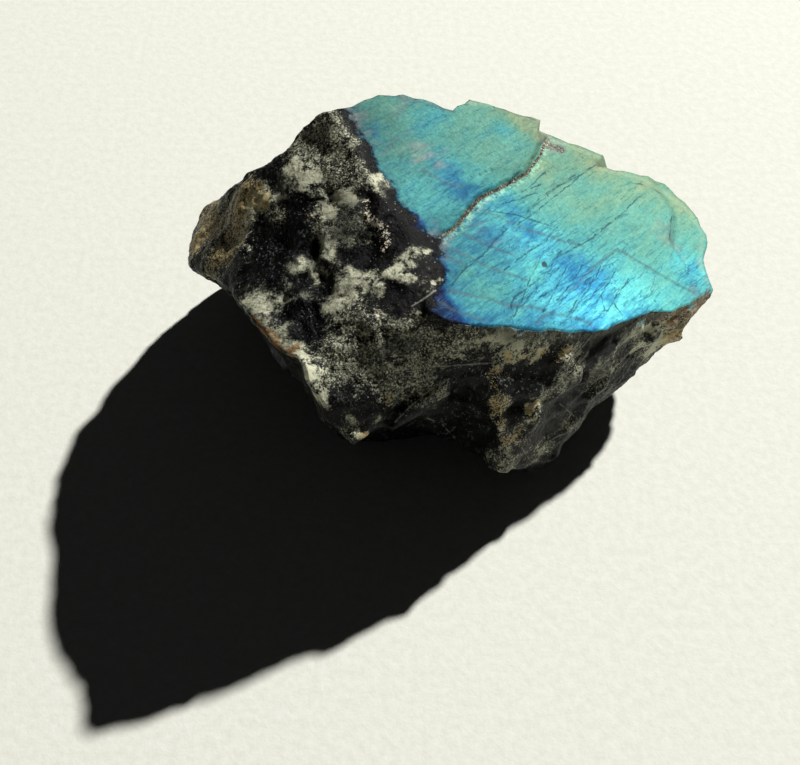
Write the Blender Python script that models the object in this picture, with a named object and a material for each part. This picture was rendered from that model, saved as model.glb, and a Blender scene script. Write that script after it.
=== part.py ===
"""A rough chunk of labradorite: one stone, with a flat cleavage face that flashes blue in dark rock.

The stone is described by the broken corners a person can point at. A closed rim runs round the top. Inside it
lie the tilted cleavage face and the nearly level dark shoulder with its front bench. Outside it, profiles of
four corners each carry the broken sides from the rim down to the flat base that the stone rests on.

Sizes are in millimetres, +X along the stone's long side towards the cleavage tip, +Y to its back, +Z up.
"""

import math

import bmesh
import bpy
from mathutils import Vector, noise
from mathutils.geometry import delaunay_2d_cdt, intersect_point_tri_2d

MM = 0.001

# The cleavage face is one plane, highest at the left and falling towards the tip.
CLEAVAGE_HEIGHT = 39.8
CLEAVAGE_FALL = 0.48

# Mesh fineness: how far apart points stand along the rim, over the top and over the base.
RIM_STEP = 1.55
TOP_STEP = 1.85
BASE_STEP = 3.2
VEIN_LINE_STEP = 1.48
MARGIN_LINE_STEP = 1.66
ROWS_PER_LEVEL = (6, 6, 6, 5)
# Loose points keep this share of a step away from fixed ones, and wander by a share of a step.
TOP_KEEP_OFF, BASE_KEEP_OFF = 0.55, 0.6
GRID_WANDER, GRID_WANDER_SIZE = 0.3, 1.4

# How far the rim wanders sideways and up between its corners, and over what size.
RAGGED_ASIDE, RAGGED_ASIDE_SIZE = 0.56, 1.7
RAGGED_UP, RAGGED_UP_SIZE = 0.28, 2.3

# A point this near the cleavage plane lies on it. Inside the face's outline the steps and vein reach further.
ON_PLANE = 0.01
FACE_REACH = 1.6

# A point this low stands on the base, and a triangle whose direction is below this faces straight down.
ON_BASE = 0.01
FACES_DOWN = -0.99

# Broken relief on everything but the cleavage face: size of each form, and how far it stands out.
LUMP_SIZE, LUMP_DEPTH = 11.0, 0.8
CHIP_SIZE, CHIP_TILT, CHIP_DEPTH = 6.5, 0.30, 0.65
CHIP_SPREAD = 7.3
GRAIN_SIZE, GRAIN_DEPTH = 2.6, 0.25
GRAIN_FALL, GRAIN_FINER, GRAIN_LAYERS = 0.9, 2.1, 3
RIM_CALM = 2.6
RIM_SHARE = 0.12
TOP_SHARE = 0.55
TOP_UPRIGHT = 0.6

# The vein that crosses the cleavage face from front to back, and how far the face steps down to its right.
# The step begins at nothing where x + y is STEP_START, and is whole STEP_RUN further on.
VEIN = ((-3.4, -6.3), (-1.3, -3.6), (2.3, 3.3), (6.8, 8.2), (9.6, 11.4), (12.6, 18.9), (13.0, 21.5))
VEIN_WIDTH = 0.9
VEIN_DEPTH = 0.6
STEP_DOWN = 0.45
STEP_START, STEP_RUN = -9.0, 12.0

# Thin flakes broken from the face's right margin leave it lower there.
MARGIN = ((30.0, 21.5), (33.7, 14.4), (32.0, 7.6), (33.6, 4.6), (38.5, 0.5))
MARGIN_DROP = 0.7
MARGIN_SLOPE = 0.8

# A triangle shows the flash where it faces along the cleavage plane's own direction and mostly upwards.
FLASH_ALONG_PLANE, FLASH_UPRIGHT = 0.97, 0.8

# A square hole in the dark shoulder where a crystal fell out.
HOLE_CENTRE = (-20.0, -8.2)
HOLE_HALF = (1.25, 0.95)
HOLE_DEPTH = 1.2
HOLE_INNER, HOLE_OUTER = 0.85, 1.2

# Lumps and hollows one can point at: the middle of each, its radius, and how far it stands out or sinks in.
FRONT_FORMS = (
    ((6.5, -19.8, 29.3), 2.7, -1.0), ((10.1, -19.3, 28.6), 2.5, -0.9), ((6.9, -22.5, 25.5), 2.6, -1.0),
    ((4.2, -21.6, 30.0), 2.2, 0.5), ((4.4, -23.8, 24.5), 2.6, 0.7), ((9.3, -21.9, 23.0), 2.4, 0.8),
    ((8.6, -23.6, 18.0), 2.4, 0.5), ((6.5, -25.2, 16.0), 3.0, 0.5), ((13.8, -16.3, 28.8), 2.2, 0.7),
    ((13.4, -19.4, 21.0), 3.0, -1.0), ((16.1, -17.3, 21.5), 2.8, -0.8), ((15.1, -16.7, 25.5), 2.2, 0.7),
    ((18.7, -14.4, 24.0), 2.6, 0.6), ((20.4, -13.8, 18.0), 2.8, 0.6), ((14.6, -19.4, 13.0), 2.6, 0.5),
    ((22.9, -11.0, 23.0), 2.4, -0.7), ((25.4, -9.0, 18.5), 2.2, -0.6), ((27.3, -7.9, 20.6), 2.4, 0.8),
    ((-14.6, -28.4, 32.6), 2.6, -1.0), ((-13.8, -29.4, 29.8), 2.6, 0.4), ((-11.3, -27.6, 31.0), 2.2, 0.4),
    ((-3.9, -23.8, 31.5), 3.0, 0.7), ((0.6, -21.2, 27.0), 3.4, -0.9),
)
SHOULDER_FORMS = (
    ((-23.9, -6.5, 39.5), 3.2, -0.9), ((-26.7, -3.5, 38.9), 2.6, -0.5), ((-12.3, -9.7, 42.3), 2.4, -0.7),
    ((-9.0, -8.1, 43.5), 2.4, -0.5), ((-14.9, -5.3, 43.0), 3.4, 0.7), ((-21.6, 2.1, 43.8), 2.6, 0.5),
    ((-18.4, -9.9, 40.6), 2.2, 0.4), ((-14.7, -13.2, 41.0), 3.0, 0.5), ((-21.1, -13.6, 39.2), 2.6, 0.4),
    ((-4.7, -10.5, 42.1), 2.2, 0.4), ((-7.9, -13.7, 42.4), 2.6, 0.5), ((-18.9, -12.6, 39.6), 2.4, -0.6),
    ((-20.3, -17.2, 38.5), 2.8, -0.8), ((-23.2, -19.4, 37.3), 2.4, 0.4), ((-11.5, -6.0, 44.1), 2.2, 0.5),
)
KNOB_FORMS = (
    ((-36.5, 5.6, 30.0), 3.0, 0.5), ((-33.0, 5.8, 34.1), 2.8, -0.4), ((-33.9, -2.2, 32.7), 3.0, 0.6),
    ((-29.4, -8.9, 36.7), 2.6, -0.7), ((-28.8, -5.4, 37.6), 2.4, -0.6), ((-30.5, 3.0, 37.5), 2.6, 0.5),
)
FORMS = FRONT_FORMS + SHOULDER_FORMS + KNOB_FORMS


def cleavage_z(x):
    return CLEAVAGE_HEIGHT - CLEAVAGE_FALL * x


def on_cleavage(*points):
    return [(x, y, cleavage_z(x)) for x, y in points]


# The rim, clockwise seen from above, in named stretches.
BACK_SHOULDER = [
    (-38.5, 0.0, 28.0), (-39.0, 3.0, 27.5), (-39.0, 8.5, 26.0), (-37.5, 11.0, 28.0), (-35.0, 9.5, 31.0),
    (-33.0, 8.5, 34.0), (-30.5, 7.0, 37.5), (-29.0, 6.5, 40.0), (-27.0, 6.0, 41.5), (-23.8, 7.0, 43.5),
    (-22.4, 8.5, 44.5), (-21.5, 9.3, 45.5), (-19.1, 10.3, 47.0),
]
CLEAVAGE_BACK = on_cleavage(
    (-16.0, 10.5), (-11.5, 15.5), (-8.0, 17.5), (-1.0, 18.0), (1.5, 21.5), (7.0, 22.5), (12.5, 23.0),
    (12.0, 20.5), (14.0, 21.0), (22.5, 21.0), (21.0, 18.0), (27.0, 19.5), (33.0, 20.5),
)
CLEAVAGE_TIP = on_cleavage(
    (36.0, 18.0), (38.0, 15.5), (39.0, 11.0), (37.5, 7.0), (37.5, 1.2), (34.0, -2.5),
)
CLEAVAGE_FRONT = on_cleavage(
    (30.0, -6.0), (26.0, -7.5), (23.5, -9.5), (20.0, -12.0), (17.0, -14.0), (12.0, -15.5), (8.0, -17.0),
)
BENCH_LIP = [
    (6.4, -18.0, 35.6), (4.2, -18.8, 35.0), (2.8, -20.3, 33.5), (-1.6, -21.6, 34.3), (-4.6, -23.0, 33.6),
    (-8.5, -24.7, 33.2), (-12.0, -26.3, 34.0), (-15.2, -27.6, 35.0), (-17.8, -28.0, 35.2),
]
LEFT_LIP = [
    (-19.5, -26.5, 38.5), (-20.0, -24.5, 39.5), (-21.0, -23.0, 38.5), (-23.0, -21.5, 37.0),
    (-25.0, -19.5, 37.0), (-27.5, -16.0, 37.0), (-29.0, -13.5, 36.5), (-30.5, -10.5, 35.5),
    (-33.0, -6.5, 32.5), (-36.5, -3.0, 30.0),
]
RIM = BACK_SHOULDER + CLEAVAGE_BACK + CLEAVAGE_TIP + CLEAVAGE_FRONT + BENCH_LIP + LEFT_LIP

# Where the cleavage plane ends inside the top: along the front step, then up the ridge to the back.
RIDGE = on_cleavage(
    (5.2, -17.5), (3.0, -18.2), (0.5, -19.0), (-2.5, -19.5), (-4.5, -19.0), (-5.5, -15.0), (-7.0, -8.5),
    (-8.5, -6.0), (-10.5, -4.0), (-13.5, 1.5), (-15.0, 5.0), (-17.5, 9.0),
)

# High and low points of the dark shoulder and of the bench below the front step.
SHOULDER_POINTS = [
    (-21.5, 1.5, 43.8), (-28.5, -1.0, 38.5), (-32.5, 1.5, 34.5), (-21.5, -6.5, 40.8), (-16.0, -2.0, 43.9),
    (-11.0, -8.0, 43.2), (-17.5, -14.0, 39.8), (-25.0, -12.5, 38.0), (-9.5, -15.5, 41.8),
    (-15.0, -20.5, 39.8), (-10.5, -20.5, 40.5), (-7.5, -19.5, 41.2), (-17.5, 4.5, 46.1),
]
BENCH_POINTS = [
    (-17.0, -24.5, 37.2), (-12.0, -23.5, 36.8), (-7.5, -22.6, 36.6), (-2.5, -20.7, 37.0), (1.5, -19.8, 36.4),
]

# Corners of the broken sides. Each profile starts at the rim corner named by its first point and goes down
# through four more corners to the base, the last at height zero.
PROFILES = [
    ((-39.0, 3.0), (-39.0, 6.0, 21.0), (-38.5, 10.0, 13.0), (-37.0, 14.0, 5.5), (-35.5, 15.0, 0.0)),
    ((-39.0, 8.5), (-39.5, 11.5, 20.0), (-39.0, 15.5, 13.0), (-38.0, 18.0, 6.0), (-36.0, 18.0, 0.0)),
    ((-37.5, 11.0), (-38.0, 15.0, 21.0), (-38.0, 19.0, 13.0), (-37.5, 20.5, 6.0), (-36.0, 20.0, 0.0)),
    ((-33.0, 8.5), (-34.5, 14.0, 25.0), (-35.0, 19.5, 16.0), (-34.5, 22.5, 7.5), (-32.5, 22.0, 0.0)),
    ((-29.0, 6.5), (-30.0, 12.0, 29.0), (-30.5, 18.0, 19.0), (-30.0, 21.5, 9.0), (-28.5, 21.5, 0.0)),
    ((-23.8, 7.0), (-23.5, 13.0, 32.0), (-24.0, 19.0, 20.0), (-23.0, 22.0, 9.0), (-21.0, 21.0, 0.0)),
    ((-19.1, 10.3), (-19.0, 14.5, 35.0), (-18.0, 19.0, 22.0), (-16.5, 21.0, 10.0), (-15.0, 19.5, 0.0)),
    ((-11.5, 15.5), (-12.0, 18.5, 33.0), (-11.0, 20.5, 20.0), (-11.0, 20.0, 9.0), (-10.5, 17.5, 0.0)),
    ((-1.0, 18.0), (-2.0, 20.5, 31.0), (-1.5, 22.0, 18.0), (-3.0, 19.5, 8.0), (-3.0, 16.5, 0.0)),
    ((12.5, 23.0), (13.0, 23.5, 25.0), (11.0, 21.0, 15.0), (9.0, 19.0, 6.0), (7.0, 15.0, 0.0)),
    ((22.5, 21.0), (23.5, 21.5, 21.0), (22.0, 20.5, 13.0), (18.0, 16.5, 5.0), (15.0, 14.0, 0.0)),
    ((33.0, 20.5), (32.0, 19.5, 19.0), (29.0, 17.0, 12.5), (25.0, 14.0, 5.0), (20.0, 10.5, 0.0)),
    ((39.0, 11.0), (38.0, 10.5, 18.0), (34.0, 9.0, 12.5), (28.0, 7.0, 5.0), (22.0, 5.5, 0.0)),
    ((37.5, 7.0), (38.0, 6.6, 16.6), (34.5, 5.6, 12.5), (28.2, 4.6, 5.3), (22.2, 3.7, 0.0)),
    ((37.5, 1.2), (37.5, 1.2, 19.0), (35.0, 0.2, 15.5), (28.0, 1.0, 6.0), (22.5, 1.0, 0.0)),
    ((34.0, -2.5), (34.3, -3.4, 19.2), (33.2, -4.3, 15.6), (27.0, -3.5, 6.5), (22.0, -3.5, 0.0)),
    ((30.0, -6.0), (30.2, -6.3, 21.4), (30.2, -5.9, 18.1), (26.0, -6.8, 8.6), (20.5, -8.0, 0.0)),
    ((26.0, -7.5), (26.3, -8.1, 21.7), (26.2, -8.3, 17.7), (23.4, -8.8, 8.4), (19.5, -9.5, 0.0)),
    ((23.5, -9.5), (23.2, -10.7, 22.0), (23.4, -11.2, 15.5), (21.0, -11.2, 8.0), (18.5, -11.0, 0.0)),
    ((17.0, -14.0), (16.8, -15.6, 25.5), (17.3, -16.2, 19.3), (17.8, -16.6, 11.0), (16.0, -13.5, 0.0)),
    ((12.0, -15.5), (12.2, -18.5, 27.2), (12.5, -20.2, 21.2), (12.8, -21.3, 9.5), (13.2, -16.5, 0.0)),
    ((8.0, -17.0), (7.8, -21.0, 27.2), (7.9, -23.2, 21.5), (8.6, -24.6, 12.0), (9.8, -17.4, 0.0)),
    ((4.2, -18.8), (4.6, -22.3, 27.5), (4.8, -24.6, 21.5), (5.3, -26.4, 15.8), (7.0, -16.6, 0.0)),
    ((2.8, -20.3), (3.0, -21.4, 27.5), (2.8, -22.6, 20.0), (3.0, -23.6, 14.5), (4.5, -14.8, 0.0)),
    ((-1.6, -21.6), (-1.2, -20.4, 27.0), (-1.0, -20.2, 19.0), (-0.6, -19.6, 12.0), (0.5, -12.5, 0.0)),
    ((-4.6, -23.0), (-4.2, -24.9, 30.2), (-4.6, -20.6, 20.0), (-4.0, -15.4, 8.0), (-4.0, -11.5, 0.0)),
    ((-8.5, -24.7), (-8.5, -27.0, 29.8), (-7.8, -20.8, 19.5), (-7.0, -15.2, 8.0), (-7.0, -12.0, 0.0)),
    ((-12.0, -26.3), (-11.8, -28.0, 29.6), (-11.0, -21.6, 19.0), (-10.2, -15.4, 8.0), (-9.5, -12.5, 0.0)),
    ((-15.2, -27.6), (-14.4, -30.0, 29.6), (-14.2, -23.0, 19.5), (-13.4, -16.0, 8.0), (-13.0, -12.5, 0.0)),
    ((-17.8, -28.0), (-16.6, -28.2, 30.4), (-16.6, -22.4, 19.0), (-17.2, -16.4, 8.0), (-17.2, -12.6, 0.0)),
    ((-20.0, -24.5), (-20.6, -21.5, 30.0), (-20.5, -16.5, 20.0), (-20.0, -12.0, 9.0), (-19.0, -9.5, 0.0)),
    ((-25.0, -19.5), (-25.0, -15.0, 27.5), (-24.5, -8.5, 17.5), (-24.5, -4.0, 8.0), (-24.0, -1.5, 0.0)),
    ((-30.5, -10.5), (-30.5, -6.0, 26.0), (-29.0, -1.5, 17.0), (-28.0, 3.5, 8.0), (-27.5, 6.5, 0.0)),
    ((-36.5, -3.0), (-35.5, 2.2, 22.0), (-34.5, 5.5, 14.0), (-33.0, 9.5, 6.0), (-32.0, 11.5, 0.0)),
]


def edge_noise(point, size):
    """A signed value about -1 to 1 that changes smoothly over the given size."""
    return noise.noise(Vector(point) / size)


def ragged(a, b, step):
    """Points from a up to but not including b, a step apart, pushed sideways as a broken edge is.
    The push stays in the cleavage plane where both ends lie on it."""
    a, b = Vector(a), Vector(b)
    run = b - a
    count = max(1, round(run.length / step))
    aside = Vector((-run.y, run.x, 0.0)).normalized()
    flat = abs(a.z - cleavage_z(a.x)) < ON_PLANE and abs(b.z - cleavage_z(b.x)) < ON_PLANE
    found = []
    for k in range(count):
        p = a.lerp(b, k / count)
        if k:
            p += aside * RAGGED_ASIDE * edge_noise(p, RAGGED_ASIDE_SIZE)
            lift = RAGGED_UP * edge_noise(p + Vector((9.0, 0.0, 0.0)), RAGGED_UP_SIZE)
            p.z = cleavage_z(p.x) if flat else p.z + lift
        found.append(p)
    return found


def rim_points():
    """The rim's points in order. Those on the cleavage plane follow the steps of the cleavage face."""
    points = []
    for a, b in zip(RIM, RIM[1:] + RIM[:1]):
        points += ragged(a, b, RIM_STEP)
    for p in points:
        if abs(p.z - cleavage_z(p.x)) < ON_PLANE:
            p.z += cleavage_steps(p.x, p.y)
    return points


def signed_gap(x, y, line):
    """Distance from a polyline: negative on its left going along it, and positive on its right."""
    best, sign = 1e9, 1.0
    p = Vector((x, y))
    for a, b in zip(line, line[1:]):
        a, b = Vector(a), Vector(b)
        run = b - a
        t = min(1.0, max(0.0, (p - a).dot(run) / run.length_squared))
        gap = (p - (a + run * t)).length
        if gap < best:
            best = gap
            sign = -1.0 if run.x * (p.y - a.y) - run.y * (p.x - a.x) > 0 else 1.0
    return best * sign


def inside(x, y, polygon):
    """Whether (x, y) is inside a closed polygon, by counting crossings."""
    odd = False
    for a, b in zip(polygon, polygon[1:] + polygon[:1]):
        if (a[1] > y) != (b[1] > y) and x < a[0] + (y - a[1]) * (b[0] - a[0]) / (b[1] - a[1]):
            odd = not odd
    return odd


def distance_to(p, ring):
    """How far a point is from a closed ring of straight runs."""
    best = 1e9
    for a, b in zip(ring, ring[1:] + ring[:1]):
        t = (p - a).dot(b - a) / (b - a).length_squared
        best = min(best, (p - a.lerp(b, min(1.0, max(0.0, t)))).length)
    return best


def smooth_step(t):
    t = min(1.0, max(0.0, t))
    return t * t * (3.0 - 2.0 * t)


def cleavage_steps(x, y):
    """How far the cleavage face stands below its plane: right of the vein, and beyond the flaked margin."""
    right_of_vein = smooth_step(signed_gap(x, y, VEIN) / VEIN_WIDTH + 0.5)
    step = STEP_DOWN * right_of_vein * smooth_step((x + y - STEP_START) / STEP_RUN)
    past = -signed_gap(x, y, MARGIN)
    return -step - MARGIN_DROP * smooth_step(past / MARGIN_SLOPE + 0.5)


def vein_groove(x, y):
    """How far the crumbled vein lies below the cleavage face."""
    return -VEIN_DEPTH * math.exp(-(signed_gap(x, y, VEIN) / (0.55 * VEIN_WIDTH)) ** 2)


def triangles_over(points):
    """Control points joined into triangles, seen from above."""
    flat = [Vector((p[0], p[1])) for p in points]
    _, _, faces, origin, _, _ = delaunay_2d_cdt(flat, [], [], 0, 1e-6)
    return [[Vector(points[origin[i][0]]) for i in face] for face in faces]


def height_in(x, y, triangles, fallback):
    """The height at (x, y) on the triangle that holds it."""
    p = Vector((x, y))
    for a, b, c in triangles:
        if intersect_point_tri_2d(p, a.xy, b.xy, c.xy):
            normal = (b - a).cross(c - a)
            return a.z - (normal.x * (x - a.x) + normal.y * (y - a.y)) / normal.z
    return fallback


def grid_inside(outline, step, keep_off):
    """Points in staggered rows inside an outline, no closer than keep_off to any of its own points."""
    xs, ys = [p[0] for p in outline], [p[1] for p in outline]
    row_gap = step * math.sqrt(0.75)
    found = []
    for row in range(int((max(ys) - min(ys)) / row_gap) + 1):
        y = min(ys) + row * row_gap
        for column in range(int((max(xs) - min(xs)) / step) + 2):
            x = min(xs) + (column + 0.5 * (row % 2)) * step
            px = x + GRID_WANDER * step * edge_noise((x, y, 0.0), GRID_WANDER_SIZE)
            py = y + GRID_WANDER * step * edge_noise((x, y, 50.0), GRID_WANDER_SIZE)
            if inside(px, py, outline) and all(math.hypot(px - q[0], py - q[1]) > keep_off for q in outline):
                found.append((px, py))
    return found


def laid_along(line, step):
    """Points along an open polyline of (x, y), a step apart, with both its ends."""
    found = []
    for a, b in zip(line, line[1:]):
        a, b = Vector(a), Vector(b)
        count = max(1, round((b - a).length / step))
        found += [a.lerp(b, k / count) for k in range(count)]
    return found + [Vector(line[-1])]


def offset_line(line, aside):
    """The same polyline moved sideways, to its left where aside is positive."""
    found = []
    for k, p in enumerate(line):
        run = Vector(line[min(k + 1, len(line) - 1)]) - Vector(line[max(k - 1, 0)])
        found.append(Vector(p) + Vector((-run.y, run.x)).normalized() * aside)
    return found


def build_top(rim):
    """The cleavage face, shoulder and bench as triangles over the rim's points, which come first."""
    rim_flat = [(p.x, p.y) for p in rim]
    cleavage_rim = [p[:2] for p in CLEAVAGE_BACK + CLEAVAGE_TIP + CLEAVAGE_FRONT]
    cleavage_outline = cleavage_rim + [p[:2] for p in RIDGE]
    shoulder_rim = BENCH_LIP + LEFT_LIP + BACK_SHOULDER + CLEAVAGE_BACK[:1] + CLEAVAGE_FRONT[-1:]
    shoulder = triangles_over(shoulder_rim + RIDGE + SHOULDER_POINTS + BENCH_POINTS)

    ridge_ends = [CLEAVAGE_FRONT[-1][:2], CLEAVAGE_BACK[0][:2]]
    lines = [laid_along(ridge_ends[:1] + [p[:2] for p in RIDGE] + ridge_ends[1:], TOP_STEP)[1:-1]]
    for aside in (-0.5, 0.0, 0.5):
        lines.append(laid_along(offset_line(VEIN[:-1], aside * VEIN_WIDTH), VEIN_LINE_STEP))
    for aside in (-0.5, 0.5):
        lines.append(laid_along(offset_line(MARGIN[1:-1], aside * MARGIN_SLOPE), MARGIN_LINE_STEP))
    hole = [
        (HOLE_CENTRE[0] + sx * size * HOLE_HALF[0], HOLE_CENTRE[1] + sy * size * HOLE_HALF[1])
        for size in (HOLE_INNER, HOLE_OUTER)
        for sx, sy in ((-1, -1), (1, -1), (1, 1), (-1, 1))
    ]
    fixed = [Vector(p) for p in rim_flat]
    edges = [(k, (k + 1) % len(rim_flat)) for k in range(len(rim_flat))]
    for end, after in zip(ridge_ends, (len(fixed), len(fixed) + len(lines[0]) - 1)):
        edges.append((min(range(len(rim)), key=lambda k: (rim[k].xy - Vector(end)).length), after))
    for line in lines:
        first = len(fixed)
        fixed += line
        edges += [(first + k, first + k + 1) for k in range(len(line) - 1)]
    fixed += [Vector(p) for p in hole]
    loose = [
        p
        for p in grid_inside(rim_flat, TOP_STEP, TOP_KEEP_OFF * TOP_STEP)
        if all((Vector(p) - q).length > TOP_KEEP_OFF * TOP_STEP for q in fixed[len(rim_flat):])
    ]
    flat = fixed + [Vector(p) for p in loose]
    made, _, faces, origin, _, _ = delaunay_2d_cdt(flat, edges, [], 1, 1e-5)
    points = []
    for k, p in enumerate(made):
        if origin[k] and origin[k][0] < len(rim):
            points.append(rim[origin[k][0]].copy())
        elif inside(p.x, p.y, cleavage_outline):
            z = cleavage_z(p.x) + cleavage_steps(p.x, p.y) + vein_groove(p.x, p.y)
            points.append(Vector((p.x, p.y, z)))
        else:
            z = height_in(p.x, p.y, shoulder, cleavage_z(p.x))
            aside, ahead = abs(p.x - HOLE_CENTRE[0]), abs(p.y - HOLE_CENTRE[1])
            in_hole = aside < HOLE_HALF[0] and ahead < HOLE_HALF[1]
            points.append(Vector((p.x, p.y, z - HOLE_DEPTH if in_hole else z)))
    rim_at = {origin[k][0]: k for k in range(len(made)) if origin[k] and origin[k][0] < len(rim)}
    return points, faces, rim_at


def profile_mix(rim):
    """For each rim point, the two profiles it lies between and its share of the way between them."""
    starts = []
    for profile in PROFILES:
        corner = Vector(profile[0])
        starts.append(min(range(len(rim)), key=lambda k: (rim[k].xy - corner).length))
    around = [0.0]
    for a, b in zip(rim, rim[1:] + rim[:1]):
        around.append(around[-1] + (b - a).length)
    whole = around[-1]
    found = []
    for k in range(len(rim)):
        here = max((n for n in range(len(starts)) if starts[n] <= k), default=len(starts) - 1)
        after = (here + 1) % len(starts)
        length = (around[starts[after]] - around[starts[here]]) % whole
        found.append((here, after, ((around[k] - around[starts[here]]) % whole) / length))
    return found


def build_sides(rim):
    """Rows of points below the rim, from just under it to the base, one point below each rim point."""
    mixes = profile_mix(rim)
    rows = []
    for level, count in enumerate(ROWS_PER_LEVEL):
        for step in range(1, count + 1):
            row = []
            for point, (here, after, share) in zip(rim, mixes):
                corners = []
                for at in (level, level + 1):
                    if at == 0:
                        corners.append(point)
                    else:
                        a, b = Vector(PROFILES[here][at]), Vector(PROFILES[after][at])
                        corners.append(a.lerp(b, share))
                row.append(corners[0].lerp(corners[1], step / count))
            rows.append(row)
    return rows


def assemble():
    """The closed mesh before it is roughened: top, sides row by row, and base."""
    rim = rim_points()
    top, top_faces, rim_at = build_top(rim)
    rows = build_sides(rim)
    bm = bmesh.new()
    verts = [bm.verts.new(p) for p in top]
    ring = [verts[rim_at[k]] for k in range(len(rim))]
    for face in top_faces:
        bm.faces.new([verts[i] for i in face])
    for row in rows:
        below = [bm.verts.new(p) for p in row]
        for k in range(len(ring)):
            after = (k + 1) % len(ring)
            corners = [ring[k], ring[after], below[after], below[k]]
            if (ring[k].co - below[after].co).length < (ring[after].co - below[k].co).length:
                bm.faces.new([corners[0], corners[1], corners[2]])
                bm.faces.new([corners[0], corners[2], corners[3]])
            else:
                bm.faces.new([corners[0], corners[1], corners[3]])
                bm.faces.new([corners[1], corners[2], corners[3]])
        ring = below
    base_flat = [(v.co.x, v.co.y) for v in ring]
    loose = grid_inside(base_flat, BASE_STEP, BASE_KEEP_OFF * BASE_STEP)
    edges = [(k, (k + 1) % len(ring)) for k in range(len(ring))]
    made, _, faces, origin, _, _ = delaunay_2d_cdt(
        [Vector(p) for p in base_flat + loose], edges, [], 1, 1e-6
    )
    base = []
    for k, p in enumerate(made):
        known = origin[k] and origin[k][0] < len(ring)
        base.append(ring[origin[k][0]] if known else bm.verts.new((p.x, p.y, 0.0)))
    for face in faces:
        bm.faces.new([base[i] for i in face])
    bmesh.ops.recalc_face_normals(bm, faces=bm.faces[:])
    return bm


def chip(point):
    """Flat-faced chips: each cell of a random division of space tilts its own way."""
    place = point / CHIP_SIZE
    centre = noise.voronoi(place)[1][0]
    tilt = noise.cell_vector(centre * CHIP_SPREAD) * 2.0 - Vector((1.0, 1.0, 1.0))
    return max(-1.0, min(1.0, (place - centre).dot(tilt) * CHIP_SIZE * CHIP_TILT))


def broken_relief(point):
    lump = LUMP_DEPTH * noise.noise(point / LUMP_SIZE)
    grain = GRAIN_DEPTH * noise.fractal(point / GRAIN_SIZE, GRAIN_FALL, GRAIN_FINER, GRAIN_LAYERS)
    return lump + CHIP_DEPTH * chip(point) + grain


def pointed_forms(point):
    """The named lumps and hollows, each a smooth bell that ends at its radius."""
    total = 0.0
    for middle, radius, height in FORMS:
        total += height * smooth_step(1.0 - (point - Vector(middle)).length / radius)
    return total


def roughen(bm):
    """Pushes the broken sides, shoulder and bench in and out. Cleavage face and base keep their planes."""
    cleavage_outline = [p[:2] for p in CLEAVAGE_BACK + CLEAVAGE_TIP + CLEAVAGE_FRONT + RIDGE]
    edge = [Vector(p) for p in CLEAVAGE_BACK + CLEAVAGE_TIP + CLEAVAGE_FRONT + RIDGE]
    rim = [Vector(p) for p in RIM]
    bm.normal_update()
    moves = []
    for v in bm.verts:
        p = v.co
        above = p.z - cleavage_z(p.x)
        if abs(above) < ON_PLANE or abs(above) < FACE_REACH and inside(p.x, p.y, cleavage_outline):
            continue
        near = distance_to(p, edge)
        calm = RIM_SHARE + (1.0 - RIM_SHARE) * smooth_step(distance_to(p, rim) / RIM_CALM)
        share = TOP_SHARE if v.normal.z > TOP_UPRIGHT else 1.0
        push = (broken_relief(p) * share + pointed_forms(p)) * smooth_step(near / RIM_CALM) * calm
        move = v.normal * push
        if p.z < ON_BASE:
            on_edge = any(f.normal.z > FACES_DOWN for f in v.link_faces)
            move = Vector((move.x, move.y, 0.0)) if on_edge else Vector((0.0, 0.0, 0.0))
        moves.append((v, move))
    for v, move in moves:
        v.co += move
        v.co.z = max(0.0, v.co.z)


def centre_on_base(bm):
    """Moves the stone so that the middle of its outline stands on the origin."""
    xs, ys = [v.co.x for v in bm.verts], [v.co.y for v in bm.verts]
    middle = Vector(((min(xs) + max(xs)) / 2.0, (min(ys) + max(ys)) / 2.0, 0.0))
    print(f"moved by {-middle.x:.3f}, {-middle.y:.3f} mm; {len(bm.faces)} faces")
    for v in bm.verts:
        v.co -= middle


def stone_material():
    material = bpy.data.materials.new("dark_rock")
    material.use_nodes = True
    shader = material.node_tree.nodes["Principled BSDF"]
    shader.inputs["Base Color"].default_value = (0.022, 0.022, 0.02, 1.0)
    shader.inputs["Roughness"].default_value = 0.45
    shader.inputs["Metallic"].default_value = 0.0
    return material


def cleavage_material():
    material = bpy.data.materials.new("flash_face")
    material.use_nodes = True
    shader = material.node_tree.nodes["Principled BSDF"]
    shader.inputs["Base Color"].default_value = (0.12, 0.52, 0.6, 1.0)
    shader.inputs["Roughness"].default_value = 0.3
    shader.inputs["Metallic"].default_value = 0.0
    return material


def main():
    for obj in list(bpy.data.objects):
        bpy.data.objects.remove(obj)
    bm = assemble()
    roughen(bm)
    centre_on_base(bm)
    plane = Vector((CLEAVAGE_FALL, 0.0, 1.0)).normalized()
    for face in bm.faces:
        flashes = face.normal.dot(plane) > FLASH_ALONG_PLANE and face.normal.z > FLASH_UPRIGHT
        face.material_index = 1 if flashes else 0
    bmesh.ops.scale(bm, vec=(MM, MM, MM), verts=bm.verts[:])
    mesh = bpy.data.meshes.new("labradorite_chunk")
    bm.to_mesh(mesh)
    bm.free()
    mesh.materials.append(stone_material())
    mesh.materials.append(cleavage_material())
    stone = bpy.data.objects.new("labradorite_chunk", mesh)
    bpy.context.scene.collection.objects.link(stone)


main()
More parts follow.
